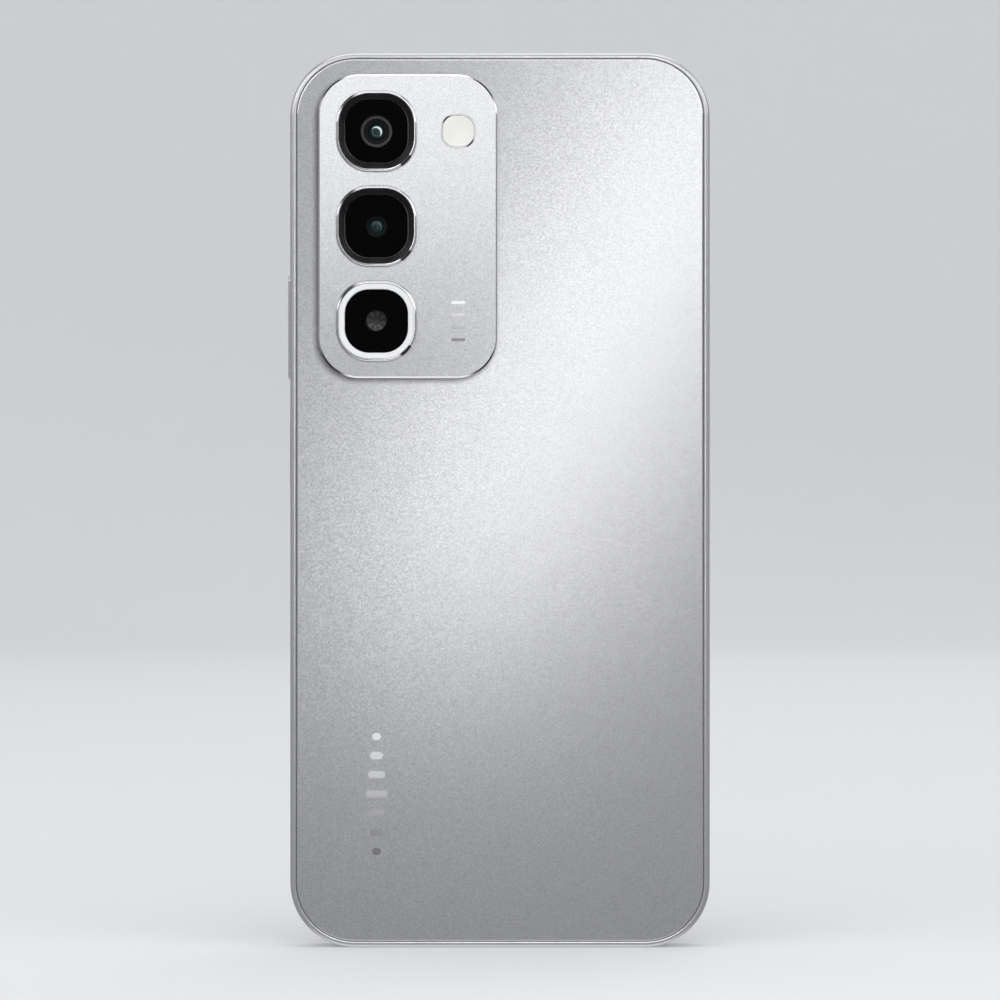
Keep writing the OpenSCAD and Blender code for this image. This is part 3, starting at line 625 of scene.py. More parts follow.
class PHONE_OT_side_frame(bpy.types.Operator):
    """Builds the side frame with the openings for its keys, card tray, port, loudspeaker and microphones"""
    bl_idname = "phone.side_frame"
    bl_label = "Side frame"

    def execute(self, context):
        look, sides = context.scene.phone_casing, context.scene.phone_sides
        body, glue, seat = Extent("side_frame"), Extent("cover_adhesive"), Extent("display_adhesive")
        r, rear, front = look.corner_radius, body.rear, body.front
        e, l = look.rear_edge, look.front_edge
        profile = arc((r - e, rear - e), e, 90, 0, 8)
        profile += arc((r - l, front + l), l, 0, -90, 8)
        profile += [
            (r - l - 0.03 * MM, seat.rear), (r - look.wall, seat.rear), (r - look.wall, glue.front - 0.6 * MM),
            (r - look.ledge, glue.front - 0.6 * MM), (r - look.ledge, glue.front),
            (r - look.rim, glue.front), (r - look.rim, rear - BREAK),
        ]
        shell = swept(profile, body.size.x, body.size.z, r, closed=True)
        left, right = -body.lo.x, body.hi.x
        cuts, gap = [], 2 * sides.key_gap
        for node in ("volume_key", "power_key"):
            key = Extent(node)
            plug = slot_plug(sides.key_width + gap, key.size.z + gap, left, sides.flare)
            cuts.append(placed(plug, "left", (0, 0, key.centre.z)))
        door, gap = Extent("card_tray"), 2 * sides.door_gap
        plug = slot_plug(door.size.y + gap, door.size.z + gap, right, 0.08 * MM)
        cuts.append(placed(plug, "right", (0, 0, door.centre.z)))
        mouth = slot_plug(sides.port_width + 0.3 * MM, sides.port_height + 0.3 * MM, 0, sides.flare)
        cuts.append(placed(mouth, "down"))
        grille = Extent("speaker_mesh")
        count = round((grille.size.x - 3 * MM) / sides.hole_pitch) + 1
        for i in range(count):
            x = grille.centre.x + (i - (count - 1) / 2) * sides.hole_pitch
            hole = round_plug(sides.hole_radius, 0, 4 * MM, sides.flare)
            cuts.append(placed(hole, "down", (x, 0, 0)))
        capsules = Extent("microphones")
        hole = round_plug(sides.microphone_radius, 0, 4 * MM, BREAK)
        cuts.append(placed(hole, "down", (capsules.lo.x + 1.5 * MM, 0, 0)))
        hole = round_plug(sides.microphone_radius, body.hi.z, 4 * MM, BREAK)
        cuts.append(placed(hole, "up", (capsules.hi.x - 1.5 * MM, 0, 0)))
        placed(shell, at=(0, 0, body.centre.z))
        silver = satin_sparkle("frame_coating", look.frame_silver, 0.3, 0.9, 0.025, contrast=0.04)
        finished("side_frame_shell", carved(shell, gathered(cuts)), [silver], ["side_frame"])
        return {"FINISHED"}


class PHONE_OT_rear_cover(bpy.types.Operator):
    """Builds the satin rear cover with its polished edge, and the plain mark on it"""
    bl_idname = "phone.rear_cover"
    bl_label = "Rear cover"

    def execute(self, context):
        look = context.scene.phone_casing
        cover, lens = Extent("rear_cover"), Extent("lens_trim_upper")
        inset = Extent("side_frame").hi.x - cover.hi.x
        e = look.cover_edge
        panel = slab(cover.size.x, cover.size.z, look.corner_radius - inset, cover.front, cover.rear, e)
        placed(panel, at=cover.place)
        seat = context.scene.phone_camera
        lip, island = 2 * seat.island_lip, Extent("camera_island")
        opening = slab(island.size.x - lip, island.size.z - lip, seat.island_radius - seat.island_lip,
                       cover.front - MM, cover.rear + MM)
        panel = carved(panel, placed(opening, at=island.place))
        paint_faces(panel, 1, lambda f: 0.02 < abs(f.normal.y) < 0.999)
        side = 0.45 * MM
        shadow = {"centre": (island.centre.x - side, island.centre.z - side),
                  "size": (island.size.x, island.size.z),
                  "radius": seat.island_radius, "width": 1.6 * MM, "dark": 0.3}
        satin = satin_sparkle("cover_coating", look.silver, 0.3, 0.92, 0.025, shadow=shadow)
        polish = surface("cover_polish", scaled(look.silver, 1.45), 0.12, metallic=1.0, contrast=0.03)
        finished("rear_cover_panel", panel, [satin, polish], ["rear_cover"])
        glue, r, hair = Extent("cover_adhesive"), look.corner_radius, 0.01 * MM
        profile = [(r - inset + hair, glue.rear), (r - look.rim - hair, glue.rear),
                   (r - look.rim - hair, cover.rear - 0.3 * MM), (r - inset + hair, cover.rear - 0.3 * MM)]
        frame_size = Extent("side_frame").size
        gasket = placed(swept(profile, frame_size.x, frame_size.z, r, closed=True), at=(0, 0, cover.centre.z))
        dark = surface("gasket_rubber", (0.19, 0.19, 0.192), 0.7, size=0.2 * MM, contrast=0.3, specular=0.1)
        finished("cover_gasket", gasket, [dark])
        span = 4 * look.mark_pitch
        # painted sheen: the mark's foil is painted darker at its lower end and paler at its upper end
        foil = foil_with_painted_sheen("mark_foil", look.mark_silver, look.mark_height - span, look.mark_height + span)
        bars, bar_t = [], look.mark_bar
        for i in range(-3, 4):
            width = look.mark_width * (1 - 0.2 * abs(i))
            bar = slab(width, bar_t, full_round(bar_t), cover.rear, cover.rear + 0.02 * MM, steps=8)
            bars.append(placed(bar, at=(lens.centre.x, 0, look.mark_height + i * look.mark_pitch)))
        finished("cover_mark", gathered(bars), [foil])
        return {"FINISHED"}


class PHONE_OT_camera_island(bpy.types.Operator):
    """Builds the raised camera island with its seats for the lens rings and the flash"""
    bl_idname = "phone.camera_island"
    bl_label = "Camera island"

    def execute(self, context):
        look, casing = context.scene.phone_camera, context.scene.phone_casing
        island, flash = Extent("camera_island"), Extent("flash_lens")
        base = Extent("rear_cover").rear
        plate = slab(island.size.x, island.size.z, look.island_radius, base, island.rear, look.island_edge,
                     chamfer=True)
        placed(plate, at=island.place)
        seats = []
        for node in LENS_TRIMS:
            trim = Extent(node)
            seat = slab(trim.size.x + 0.1 * MM, trim.size.z + 0.1 * MM, look.lens_radius + 0.05 * MM,
                        trim.front, island.rear + MM)
            seats.append(placed(seat, at=trim.place))
            well = slab(2 * look.well_half, 2 * look.well_half, look.lens_radius - trim.size.x / 2 + look.well_half,
                        base - MM, island.rear)
            seats.append(placed(well, at=trim.place))
        seat_size = flash.size.x + 0.6 * MM
        seat = slab(seat_size, seat_size, look.flash_radius + 0.3 * MM, flash.front, island.rear + MM)
        seats.append(placed(seat, at=flash.place))
        for seat in seats:
            plate = carved(plate, seat)
        paint_faces(plate, 1, lambda f: 0.1 < abs(f.normal.y) < 0.999)
        lean = {"low": island.lo.z, "high": island.hi.z, "first": 0.06, "last": 0.17, "aside": -0.05}
        satin = satin_sparkle("island_coating", scaled(casing.silver, 1.05), 0.31, 0.92, 0.025, lean=lean)
        # painted reflections: dark spots on the polished chamfer at the island's four corners
        painted_reflection_spots = [(corner_point(island, look.island_radius, across, up), 3.1 * MM, 1.3 * MM)
                 for across in (-1, 1) for up in (-1, 1)]
        polish = polished_with_painted_reflections("island_polish", scaled(casing.silver, 1.45), 0.1, painted_reflection_spots)
        finished("camera_island_plate", plate, [satin, polish], ["camera_island"])
        lower = Extent("lens_trim_lower")
        # painted sheen: the island's print is painted darker at its lower end and paler at its upper end
        foil = foil_with_painted_sheen("island_print", casing.mark_silver, lower.centre.z - 5 * MM, lower.centre.z + 5 * MM)
        marks, wide, thick, pitch = [], 2.6 * MM, 0.55 * MM, 2.3 * MM
        for row in range(4):
            dash = slab(wide, thick, full_round(thick), island.rear, island.rear + 0.012 * MM, steps=6)
            marks.append(placed(dash, at=(flash.centre.x, 0, lower.centre.z + (row - 1.5) * pitch)))
        finished("island_mark", gathered(marks), [foil])
        return {"FINISHED"}


# ---- Cameras ----

class PHONE_OT_lens_rings(bpy.types.Operator):
    """Builds the polished trims, the dark collars and the light ring's diffuser"""
    bl_idname = "phone.lens_rings"
    bl_label = "Lens rings"

    def execute(self, context):
        look = context.scene.phone_camera
        # painted reflections: dark spots on each polished trim at its upper left and lower right corners
        painted_reflection_spots = []
        for node in LENS_TRIMS:
            painted_reflection_spots.append((corner_point(Extent(node), look.lens_radius, -1, 1), 1.9 * MM, 0.9 * MM))
            painted_reflection_spots.append((corner_point(Extent(node), look.lens_radius, 1, -1), 1.3 * MM, 0.2 * MM))
        polish = polished_with_painted_reflections("trim_polish", (0.82, 0.825, 0.84), 0.1, painted_reflection_spots)
        satin = surface("collar_satin", look.collar, 0.34, metallic=0.7, size=0.2 * MM, contrast=0.2)
        milk = surface("diffuser_milk", look.diffuser, 0.3, size=0.6 * MM, contrast=0.02, specular=0.5)
        milk.node_tree.nodes["Principled BSDF"].inputs["Subsurface Weight"].default_value = 0.3
        milk.node_tree.nodes["Principled BSDF"].inputs["Subsurface Scale"].default_value = 0.4 * MM
        for trim_node, bezel_node, glass_node in zip(LENS_TRIMS, LENS_BEZELS, LENS_GLASSES):
            trim, bezel, glass = Extent(trim_node), Extent(bezel_node), Extent(glass_node)
            r, band, top = look.lens_radius, look.trim_band, trim.rear
            place = trim.place
            well = r - trim.size.x / 2 + look.well_half
            e = 0.42 * MM
            profile = [(well, trim.front), (r, trim.front)]
            profile += arc((r - e, top - e), e, 0, 90)
            profile += arc((r - band + BREAK, top - BREAK), BREAK, 90, 180, 3)
            profile += [(r - band, glass.front), (well, glass.front)]
            ring = placed(swept(profile, trim.size.x, trim.size.z, r, closed=True), at=place)
            finished(trim_node + "_ring", ring, [polish], [trim_node])
            outer = r - (trim.size.x - bezel.size.x) / 2
            inner = r - trim.size.x / 2 + glass.size.x / 2 + 0.05 * MM
            lit = bezel_node == "light_ring"
            drop = 0.1 * MM if lit else 0.22 * MM
            profile = [(inner, bezel.front), (outer, bezel.front), (outer, bezel.rear - 0.04 * MM),
                       (outer - 0.05 * MM, bezel.rear)]
            profile += [(inner + 0.12 * MM, bezel.rear - drop), (inner, bezel.rear - drop - 0.1 * MM)]
            ring = placed(swept(profile, bezel.size.x, bezel.size.z, outer, closed=True), at=place)
            finished(bezel_node + "_collar", ring, [milk if lit else satin], [bezel_node])
        return {"FINISHED"}


class PHONE_OT_lens_windows(bpy.types.Operator):
    """Builds the black windows, each with its round clear opening"""
    bl_idname = "phone.lens_windows"
    bl_label = "Lens windows"

    def execute(self, context):
        look = context.scene.phone_camera
        black = surface("window_black", (0.001, 0.001, 0.0012), 0.05, contrast=0.4, specular=0.05,
                        rough_spread=0.01)
        openings = (look.barrel_radius + 0.12 * MM, look.second_radius + 0.1 * MM, look.accent_radius + 0.1 * MM)
        for node, opening in zip(LENS_GLASSES, openings):
            glass, trim = Extent(node), Extent("lens_trim_upper")
            r = look.lens_radius - trim.size.x / 2 + glass.size.x / 2
            window = slab(glass.size.x, glass.size.z, r, glass.front, glass.rear, 0.08 * MM)
            hole = turned([(0, glass.front - MM), (opening, glass.front - MM), (opening, glass.rear - 0.05 * MM),
                           (opening + 0.1 * MM, glass.rear + 0.05 * MM), (0, glass.rear + 0.05 * MM)])
            place = glass.place
            window = placed(carved(window, hole), at=place)
            finished(node + "_window", window, [black], [node])
        return {"FINISHED"}


def lens_face(radius, rise, low, rim, steps=8):
    """A lens face on a straight rim, which bulges by rise above it."""
    lift, curve = low + rim, (radius ** 2 + rise ** 2) / (2 * rise)
    sweep = math.asin(radius / curve)
    points = [(curve * math.sin(sweep * (1 - i / steps)),
               lift + rise - curve + curve * math.cos(sweep * (1 - i / steps))) for i in range(steps)]
    return turned([(0, low), (radius, low)] + points + [(0, lift + rise)])


class PHONE_OT_cameras(bpy.types.Operator):
    """Builds the barrels and lens faces of the two rear cameras, and the small lens in the light ring"""
    bl_idname = "phone.cameras"
    bl_label = "Cameras"

    def execute(self, context):
        look = context.scene.phone_camera
        rim = surface("barrel_rim", (0.05, 0.052, 0.055), 0.36, metallic=0.5, contrast=0.15)
        dark = surface("barrel_black", (0.004, 0.004, 0.005), 0.5, contrast=0.3, specular=0.15)
        black = (0.002, 0.01, 0.012)
        barrel, r = Extent("focus_barrel"), look.barrel_radius
        top, low, flange = barrel.rear, barrel.front, barrel.size.x / 2
        place = barrel.place
        profile = [(0, low), (flange, low), (flange, low + 0.6 * MM), (r, low + 0.6 * MM), (r, top - 0.1 * MM),
                   (r - 0.1 * MM, top), (r - 0.55 * MM, top), (r - 0.62 * MM, top - 0.12 * MM),
                   (r - 0.95 * MM, top - 0.16 * MM), (r - 1.0 * MM, top - 0.4 * MM),
                   (r - 1.35 * MM, top - 0.45 * MM), (1.38 * MM, top - 0.7 * MM), (1.38 * MM, top - 0.9 * MM),
                   (0, top - 0.9 * MM)]
        shape = turned(profile)
        paint_faces(shape, 1, lambda f: f.calc_center_median().xz.length < r - 0.6 * MM)
        finished("focus_barrel_body", placed(shape, at=place), [rim, dark], ["focus_barrel"], "focus_carrier")
        face = lens_face(1.36 * MM, 0.4 * MM, top - 0.9 * MM, 0.12 * MM)
        # painted highlights: bright glowing crescents on the main lens face
        glass = coated_glass("main_coating", black, look.coating, 2.4 * MM, (place[0], place[2]), 0.8)
        finished("main_lens_face", placed(face, at=place), [glass], body="focus_carrier")
        module, r = Extent("second_camera"), look.second_radius
        top, place = module.rear, module.place
        half = module.size.x / 2
        case = slab(2 * half, 2 * half, 0.5 * MM, module.front, module.front + 3.3 * MM, 0.2 * MM, steps=5)
        tube = turned([(0, module.front + 3 * MM), (r, module.front + 3 * MM), (r, top - 0.08 * MM),
                       (r - 0.08 * MM, top), (r - 0.3 * MM, top), (r - 0.4 * MM, top - 0.2 * MM),
                       (r - 0.75 * MM, top - 0.28 * MM), (1.3 * MM, top - 0.6 * MM), (0, top - 0.6 * MM)])
        shape = placed(carved(case, tube, "UNION"), at=place)
        finished("second_camera_body", shape, [dark], ["second_camera"])
        face = lens_face(1.28 * MM, 0.34 * MM, top - 0.6 * MM, 0.1 * MM)
        # painted highlights: faint glowing crescents on the second lens face
        glass = coated_glass("second_coating", black, look.coating, 1.6 * MM, (place[0], place[2]), 0.06)
        finished("second_lens_face", placed(face, at=place), [glass])
        accent = Extent("accent_lens")
        r, top, place = look.accent_radius, accent.rear, accent.place
        dish = turned([(0, accent.front), (r, accent.front), (r, top - 0.1 * MM), (r - 0.1 * MM, top),
                       (r - 0.25 * MM, top), (0.5 * MM, top - 0.28 * MM), (0.42 * MM, top - 0.4 * MM),
                       (0, top - 0.4 * MM)], steps=16)
        # painted sheen: sectors alternate between a darker and a paler copy of one grey, for the swirl of light on
        # a turned dish
        for face in dish.faces:
            middle = face.calc_center_median()
            sector = round((math.atan2(middle.z, middle.x) / math.pi + 1) * 8 - 0.5)
            face.material_index = sector % 2
        painted_sheen_greys = [surface("accent_" + name, (tone, tone, tone * 1.05), 0.3, metallic=0.8, contrast=0.2)
                 for name, tone in (("dark", 0.03), ("pale", 0.06))]
        finished("accent_lens_dish", placed(dish, at=place), painted_sheen_greys, ["accent_lens"])
        return {"FINISHED"}


class PHONE_OT_flash(bpy.types.Operator):
    """Builds the flash window and its polished trim"""
    bl_idname = "phone.flash"
    bl_label = "Flash"

    def execute(self, context):
        look = context.scene.phone_camera
        flash, island = Extent("flash_lens"), Extent("camera_island")
        place, r = flash.place, look.flash_radius
        window = slab(flash.size.x, flash.size.z, r, flash.front, flash.rear, 0.18 * MM)
        material, tree, shader = new_material("flash_window")
        cloud = grain(tree, 5 * MM, detail=0.0)
        warm = shade(tree, cloud.outputs["Fac"], scaled(look.flash_white, 0.85), scaled(look.flash_white, 1.1))
        link(tree, warm, shader.inputs["Base Color"])
        shader.inputs["Roughness"].default_value = 0.12
        shader.inputs["Subsurface Weight"].default_value = 0.4
        shader.inputs["Subsurface Scale"].default_value = 0.5 * MM
        shader.inputs["Coat Weight"].default_value = 0.6
        finished("flash_window", placed(window, at=place), [material], ["flash_lens"])
        band = look.flash_trim
        outer, inner, low, high = r + 0.28 * MM, r + 0.28 * MM - band, flash.front, island.rear + 0.04 * MM
        profile = [(inner, low), (outer, low), (outer, high - BREAK), (outer - BREAK, high),
                   (inner + BREAK, high), (inner, high - BREAK)]
        size = flash.size.x + 0.56 * MM
        ring = placed(swept(profile, size, size, outer, closed=True), at=place)
        # painted reflections: dark spots on the polished flash trim at two opposite corners
        painted_reflection_spots = [(corner_point(flash, r, across, -across), 0.9 * MM, 0.4 * MM) for across in (-1, 1)]
        polish = polished_with_painted_reflections("flash_polish", (0.95, 0.95, 0.96), 0.3, painted_reflection_spots)
        finished("flash_trim", ring, [polish])
        return {"FINISHED"}


# ---- Sides ----

class PHONE_OT_keys(bpy.types.Operator):
    """Builds the volume key, and the power key with its fingerprint sensor"""
    bl_idname = "phone.keys"
    bl_label = "Keys"

    def execute(self, context):
        look, casing = context.scene.phone_sides, context.scene.phone_casing
        silver = satin_sparkle("key_coating", casing.frame_silver, 0.28, 0.9, 0.02, contrast=0.05)
        w = look.key_width
        volume = Extent("volume_key")
        low = -volume.hi.x
        cap = slab(w, volume.size.z, full_round(w), low + 0.9 * MM, -volume.lo.x, 0.34 * MM, steps=12)
        finished("volume_key_cap", placed(cap, "left", (0, 0, volume.centre.z)), [silver], ["volume_key"],
                 "volume_rocker")
        power = Extent("power_key")
        low, top = -power.hi.x, -power.lo.x
        cap = slab(w, power.size.z, full_round(w), low + 0.4 * MM, top, 0.16 * MM, steps=12)
        sensor = Extent("fingerprint_sensor")
        wide = w - 0.7 * MM
        recess = slab(wide, power.size.z - 0.9 * MM, full_round(wide), top - 0.3 * MM, top + MM, steps=12)
        finished("power_key_cap", placed(carved(cap, recess), "left", (0, 0, power.centre.z)), [silver],
                 ["power_key"], "power_button")
        wide -= BREAK
        pad = slab(wide, power.size.z - 0.96 * MM, full_round(wide), top - 0.29 * MM, -sensor.lo.x, BREAK, steps=12)
        hard = surface("sensor_coating", scaled(casing.frame_silver, 0.85), 0.2, metallic=0.5, coat=0.6)
        finished("fingerprint_pad", placed(pad, "left", (0, 0, power.centre.z)), [hard], ["fingerprint_sensor"],
                 "power_button")
        return {"FINISHED"}


class PHONE_OT_card_tray(bpy.types.Operator):
    """Builds the card tray: its door with the pin hole, and its plate with two pockets"""
    bl_idname = "phone.card_tray"
    bl_label = "Card tray"

    def execute(self, context):
        look, casing = context.scene.phone_sides, context.scene.phone_casing
        tray, seal = Extent("card_tray"), Extent("tray_seal")
        depth, face = look.door_depth, tray.hi.x
        door = slab(tray.size.y, tray.size.z, full_round(tray.size.y), face - depth, face, 0.1 * MM, steps=12)
        placed(door, "right", (0, 0, tray.centre.z))
        plate_thick, plate_y = 0.8 * MM, tray.centre.y + 0.45 * MM
        span, width = seal.lo.x - tray.lo.x + 0.6 * MM, 12.4 * MM
        plate = box_shape((span, plate_thick, width), (tray.lo.x + span / 2, plate_y, tray.centre.z), 0.08 * MM)
        pocket, border, pitch = (12.4 * MM, 3 * MM, 9 * MM), 1.2 * MM, 13.7 * MM
        pockets = []
        for i in range(2):
            x = tray.lo.x + border + pocket[0] / 2 + i * pitch
            pockets.append(box_shape(pocket, (x, plate_y, tray.centre.z)))
        plate = carved(plate, gathered(pockets))
        whole = carved(door, plate, "UNION")
        hole = round_plug(look.pin_radius, face, 4 * MM, BREAK)
        placed(hole, "right", (0, 0, tray.hi.z - 1.3 * MM))
        metal = satin_sparkle("tray_coating", casing.frame_silver, 0.3, 0.9, 0.02, contrast=0.05)
        finished("card_tray_body", carved(whole, hole), [metal], ["card_tray"], "tray")
        return {"FINISHED"}


class PHONE_OT_charging_port(bpy.types.Operator):
    """Builds the charging port's shell, and its tongue with the row of contacts"""
    bl_idname = "phone.charging_port"
    bl_label = "Charging port"

    def execute(self, context):
        look = context.scene.phone_sides
        shell, tongue = Extent("usb_shell"), Extent("usb_tongue")
        w, h, wall = look.port_width, look.port_height, look.port_wall
        r, mouth, back = full_round(h), -shell.lo.z, -shell.hi.z
        profile = [(r, back), (r, mouth - 0.05 * MM), (r - BREAK, mouth), (r - wall + 0.12 * MM, mouth),
                   (r - wall, mouth - 0.16 * MM), (r - wall, back + 0.4 * MM)]
        steel = surface("port_steel", (0.5, 0.5, 0.51), 0.3, metallic=1.0, contrast=0.1)
        finished("port_shell", placed(swept(profile, w, h, r, steps=14), "down"), [steel], ["usb_shell"])
        blade = box_shape((6.7 * MM, 0.7 * MM, tongue.size.z - 0.4 * MM),
                          (0, 0, tongue.lo.z + tongue.size.z / 2 - 0.2 * MM), 0.12 * MM)
        shrink = 2 * wall + 0.04 * MM
        base = slab(w - shrink, h - shrink, full_round(h - shrink), -tongue.hi.z, -tongue.hi.z + 0.6 * MM, steps=10)
        black = surface("tongue_black", (0.012, 0.012, 0.012), 0.45, contrast=0.25)
        finished("port_tongue", carved(blade, placed(base, "down"), "UNION"), [black], ["usb_tongue"])
        gold = surface("contact_gold", (0.75, 0.52, 0.2), 0.25, metallic=1.0, contrast=0.08)
        pads, pad, pitch, lift = [], (0.26 * MM, 0.03 * MM, 3.4 * MM), 0.5 * MM, 0.35 * MM
        for side in (-1, 1):
            for i in range(12):
                pads.append(box_shape(pad, ((i - 5.5) * pitch, side * lift, tongue.lo.z + 2.4 * MM)))
        finished("port_contacts", gathered(pads), [gold])
        return {"FINISHED"}


# ---- Display ----

class PHONE_OT_display(bpy.types.Operator):
    """Builds the display glass with its border, the switched-off picture, and the opening for the front camera"""
    bl_idname = "phone.display"
    bl_label = "Display"

    def execute(self, context):
        look, casing = context.scene.phone_display, context.scene.phone_casing
        glass, camera, slit = Extent("display_glass"), Extent("front_camera"), Extent("earpiece_mesh")
        inset = Extent("side_frame").hi.x - glass.hi.x
        low, high = glass.lo.y, glass.hi.y
        sheet = slab(glass.size.x, glass.size.z, casing.corner_radius - inset, low, high, look.glass_edge)
        top = max(sheet.faces, key=lambda f: -f.calc_center_median().y)
        bmesh.ops.inset_region(sheet, faces=[top], thickness=0.5 * MM, use_even_offset=True)
        width = glass.size.x - 2 * look.side_border
        height = glass.size.z - look.top_border - look.chin
        shrink = (width / (glass.size.x - 2 * look.glass_edge - MM), 1,
                  height / (glass.size.z - 2 * look.glass_edge - MM))
        bmesh.ops.scale(sheet, vec=shrink, verts=top.verts)
        bmesh.ops.translate(sheet, vec=(0, 0, (look.chin - look.top_border) / 2), verts=top.verts)
        for face in sheet.faces:
            face.material_index = 1 if face == top else 0
        placed(sheet, "front", (0, 0, glass.centre.z))
        hole = pin(look.hole_radius, low - MM, high + MM, steps=48)
        placed(hole, "front", (0, 0, camera.lo.z + 3.2 * MM))
        notch = box_shape((slit.size.x + 0.1 * MM, 4 * MM, 1.1 * MM), (0, high, glass.hi.z), 0)
        border = surface("display_border", look.border, 0.05, contrast=0.3, specular=0.4, rough_spread=0.01)
        picture = surface("display_off", look.picture, 0.06, contrast=0.15, specular=0.6, rough_spread=0.01)
        finished("display_sheet", carved(sheet, gathered([hole, notch])), [border, picture], ["display_glass"])
        return {"FINISHED"}


# ---- Pieces kept from the frame ----

def stock_finishes():
    """One finish for each material slot of the pieces whose own shape is kept."""
    return {
        "mid_plate_alloy": surface("cast_alloy", (0.3, 0.31, 0.33), 0.45, metallic=0.9, size=0.8 * MM,
                                   depth=0.01 * MM),
        "display_panel": surface("panel_stack", (0.015, 0.015, 0.025), 0.25, contrast=0.3),
        "backlight": surface("film_stack", (0.85, 0.85, 0.82), 0.4, size=2 * MM, contrast=0.05),
        "adhesive": surface("foam_tape", (0.012, 0.012, 0.013), 0.8, size=0.2 * MM, contrast=0.4, depth=0.01 * MM),
        "flex_amber": surface("ribbon_film", (0.42, 0.2, 0.05), 0.3, size=1.5 * MM, contrast=0.25, coat=0.5),
        "mesh_black": woven("acoustic_mesh", (0.05, 0.05, 0.052)),
        "sensor_case": surface("gilded_case", (0.72, 0.56, 0.28), 0.28, metallic=1.0, size=0.6 * MM),
        "camera_black": surface("camera_moulding", (0.02, 0.02, 0.021), 0.5, contrast=0.3, depth=0.004 * MM),
        "board_green": surface("solder_mask", (0.01, 0.12, 0.05), 0.25, size=1.2 * MM, contrast=0.35, coat=0.6,
                               depth=0.008 * MM, kind="cells"),
        "shield_tin": surface("tinned_sheet", (0.66, 0.66, 0.65), 0.32, metallic=1.0, size=3 * MM, contrast=0.1),
        "cover_plastic": surface("inner_moulding", (0.03, 0.03, 0.032), 0.55, contrast=0.3, depth=0.01 * MM),
        "battery_foil": surface("battery_wrap", (0.05, 0.05, 0.055), 0.4, size=4 * MM, contrast=0.3,
                                depth=0.03 * MM),
        "graphite": surface("graphite_film", (0.04, 0.04, 0.045), 0.4, metallic=0.6, size=2 * MM, contrast=0.3),
        "seal_rubber": surface("seal_rubber", (0.02, 0.02, 0.02), 0.7, size=0.2 * MM, contrast=0.3,
                               depth=0.01 * MM),
        "weight_steel": surface("sintered_weight", (0.3, 0.3, 0.31), 0.45, metallic=1.0, size=0.2 * MM,
                                depth=0.01 * MM),
        "screw_steel": surface("plated_screw", (0.5, 0.5, 0.51), 0.3, metallic=1.0, size=0.3 * MM),
        "port_steel": surface("drawn_steel", (0.5, 0.5, 0.51), 0.3, metallic=1.0),
    }


class PHONE_OT_inner_parts(bpy.types.Operator):
    """Gives each piece that keeps its shape from the frame the finish of its material slot"""
    bl_idname = "phone.inner_parts"
    bl_label = "Inner parts"

    def execute(self, context):
        finishes = stock_finishes()
        slots = {p["node"]: p["material_slot"] for p in frame["record"]["subparts"]}
        for node, obj in frame["nodes"].items():
            if obj.hide_render:
                continue
            material = finishes.get(slots[node])
            if material is None:
                raise RuntimeError(f"no finish for slot {slots[node]} of {node}")
            obj.data.materials.clear()
            obj.data.materials.append(material)
        return {"FINISHED"}


# ---- Studio ----

def area_light(name, size, power, at, target, roll=0.0):
    data = bpy.data.lights.new(name, "AREA")
    data.shape = "RECTANGLE"
    data.size, data.size_y = size
    data.energy = power
    obj = bpy.data.objects.new(name, data)
    obj.location = at
    aim = (Vector(target) - Vector(at)).to_track_quat("-Z", "Y")
    obj.rotation_mode = "QUATERNION"
    obj.rotation_quaternion = aim @ Matrix.Rotation(roll, 3, "Z").to_quaternion()
    obj.visible_camera = False
    bpy.context.scene.collection.objects.link(obj)


def studio_world(ambient):
    """Even light from all round, brighter from straight below, as a pale floor would send it back."""
    world = bpy.data.worlds.new("studio")
    world.use_nodes = True
    tree = world.node_tree
    background = tree.nodes["Background"]
    background.inputs["Color"].default_value = (*ambient, 1)
    coordinates = tree.nodes.new("ShaderNodeTexCoord")
    split = tree.nodes.new("ShaderNodeSeparateXYZ")
    link(tree, coordinates.outputs["Generated"], split.inputs["Vector"])
    strength = ranged(tree, split.outputs["Z"], -0.95, -0.6, 3.2, 1, smooth=True)
    link(tree, strength, background.inputs["Strength"])
    return world


def bowl_shape(flat, bend, top):
    """A round floor that curves up into a wall all round."""
    profile = [(0.0, 0.0), (flat, 0.0)]
    profile += [(flat + bend * math.sin(a), bend - bend * math.cos(a))
                for a in (math.radians(5 * i) for i in range(1, 19))]
    profile.append((flat + bend, top))
    bm = bmesh.new()
    verts = [bm.verts.new((x, 0, z)) for x, z in profile]
    edges = [bm.edges.new(pair) for pair in zip(verts, verts[1:])]
    bmesh.ops.spin(bm, geom=verts + edges, cent=(0, 0, 0), axis=(0, 0, 1), dvec=(0, 0, 0),
                   angle=2 * math.pi, steps=96, use_merge=True, use_normal_flip=False, use_duplicate=False)
    bmesh.ops.remove_doubles(bm, verts=bm.verts, dist=1e-5)
    bmesh.ops.recalc_face_normals(bm, faces=bm.faces)
    if next(f for f in bm.faces if f.calc_center_median().z < 0.001).normal.z < 0:
        bmesh.ops.reverse_faces(bm, faces=bm.faces)
    return bm


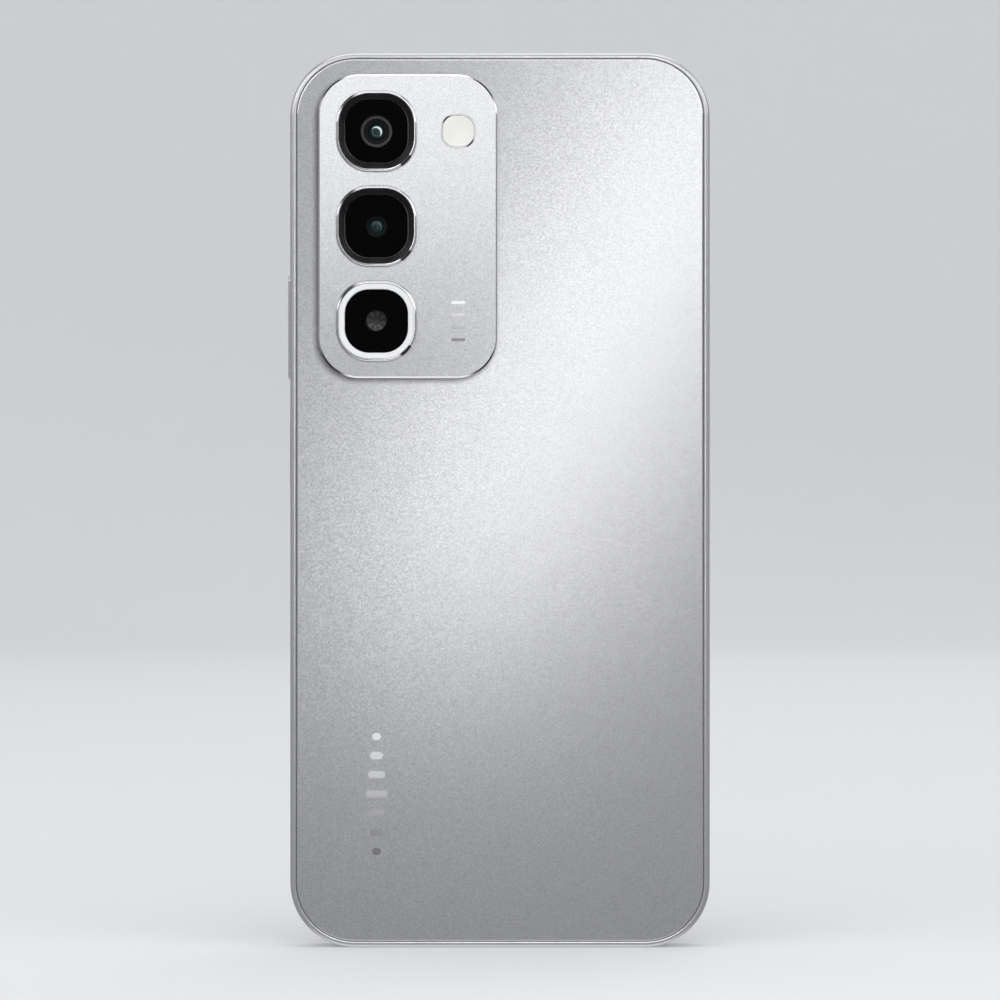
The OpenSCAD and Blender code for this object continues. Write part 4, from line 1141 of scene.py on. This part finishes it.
class PHONE_OT_studio(bpy.types.Operator):
    """Sets up the floor that curves up into a backdrop all round, the lights and the camera"""
    bl_idname = "phone.studio"
    bl_label = "Studio"

    def execute(self, context):
        look = context.scene.phone_studio
        bowl = as_object("backdrop_bowl", bowl_shape(flat=1.6, bend=0.9, top=2.6))
        bowl.data.shade_smooth()
        paint = surface("backdrop_paint", look.backdrop, 0.9, size=0.5, contrast=0.01, specular=0.1)
        glow = paint.node_tree.nodes["Principled BSDF"].inputs
        glow["Emission Color"].default_value = (*look.backdrop, 1)
        glow["Emission Strength"].default_value = 0.12
        bowl.data.materials.append(paint)
        bowl.visible_glossy = False
        body = Extent("side_frame")
        middle = body.centre.z
        context.scene.world = studio_world(look.ambient)
        at = (0.028, -0.3, middle + 0.05)
        area_light("band_light", (0.2, 0.035), 0.08, at, (at[0], 0, at[2]), roll=math.radians(59))
        area_light("overhead", (2.4, 2.4), 21, (0.0, 0.1, 2.3), (0, 0, 0))
        area_light("left_box", (2.0, 1.0), 6.6, (-1.25, -0.75, 0.85), (0, 0, middle))
        area_light("right_box", (2.0, 1.0), 6.6, (1.25, -0.75, 0.85), (0, 0, middle))
        area_light("upper_strip", (1.0, 0.4), 1.7, (-0.15, -1.0, 0.62), (0, 0, middle))
        area_light("screen_fill", (1.2, 0.8), 3, (0.5, 1.4, 1.0), (0, 0, middle))
        data = bpy.data.cameras.new("studio_camera")
        data.lens = look.focal
        camera = bpy.data.objects.new("studio_camera", data)
        distance = body.size.z / look.share * data.lens / data.sensor_width
        camera.location = (body.centre.x, body.lo.y + 0.9 * MM - distance, middle)
        camera.rotation_euler = (math.pi / 2, 0, 0)
        data.clip_start, data.clip_end = 0.01, 20
        context.scene.collection.objects.link(camera)
        context.scene.camera = camera
        context.scene.view_settings.view_transform = "Standard"
        return {"FINISHED"}


# ---- The add-on ----

STEPS = (
    PHONE_OT_side_frame, PHONE_OT_rear_cover, PHONE_OT_camera_island, PHONE_OT_lens_rings,
    PHONE_OT_lens_windows, PHONE_OT_cameras, PHONE_OT_flash, PHONE_OT_keys, PHONE_OT_card_tray,
    PHONE_OT_charging_port, PHONE_OT_display, PHONE_OT_inner_parts, PHONE_OT_studio,
)


class PHONE_PT_panel(bpy.types.Panel):
    bl_idname = "PHONE_PT_panel"
    bl_label = "Smartphone"
    bl_space_type = "VIEW_3D"
    bl_region_type = "UI"
    bl_category = "Smartphone"

    def draw(self, context):
        for step in STEPS:
            self.layout.operator(step.bl_idname)
        for name, group in SETTINGS.items():
            box = self.layout.box()
            for field in group.__annotations__:
                box.prop(getattr(context.scene, name), field)


def register():
    for cls in (*SETTINGS.values(), *STEPS, PHONE_PT_panel):
        bpy.utils.register_class(cls)
    for name, group in SETTINGS.items():
        setattr(bpy.types.Scene, name, bpy.props.PointerProperty(type=group))


def unregister():
    for name in SETTINGS:
        delattr(bpy.types.Scene, name)
    for cls in reversed((*SETTINGS.values(), *STEPS, PHONE_PT_panel)):
        bpy.utils.unregister_class(cls)


def main():
    register()
    for step in STEPS:
        group, name = step.bl_idname.split(".")
        getattr(getattr(bpy.ops, group), name)()


if __name__ == "__main__":
    main()
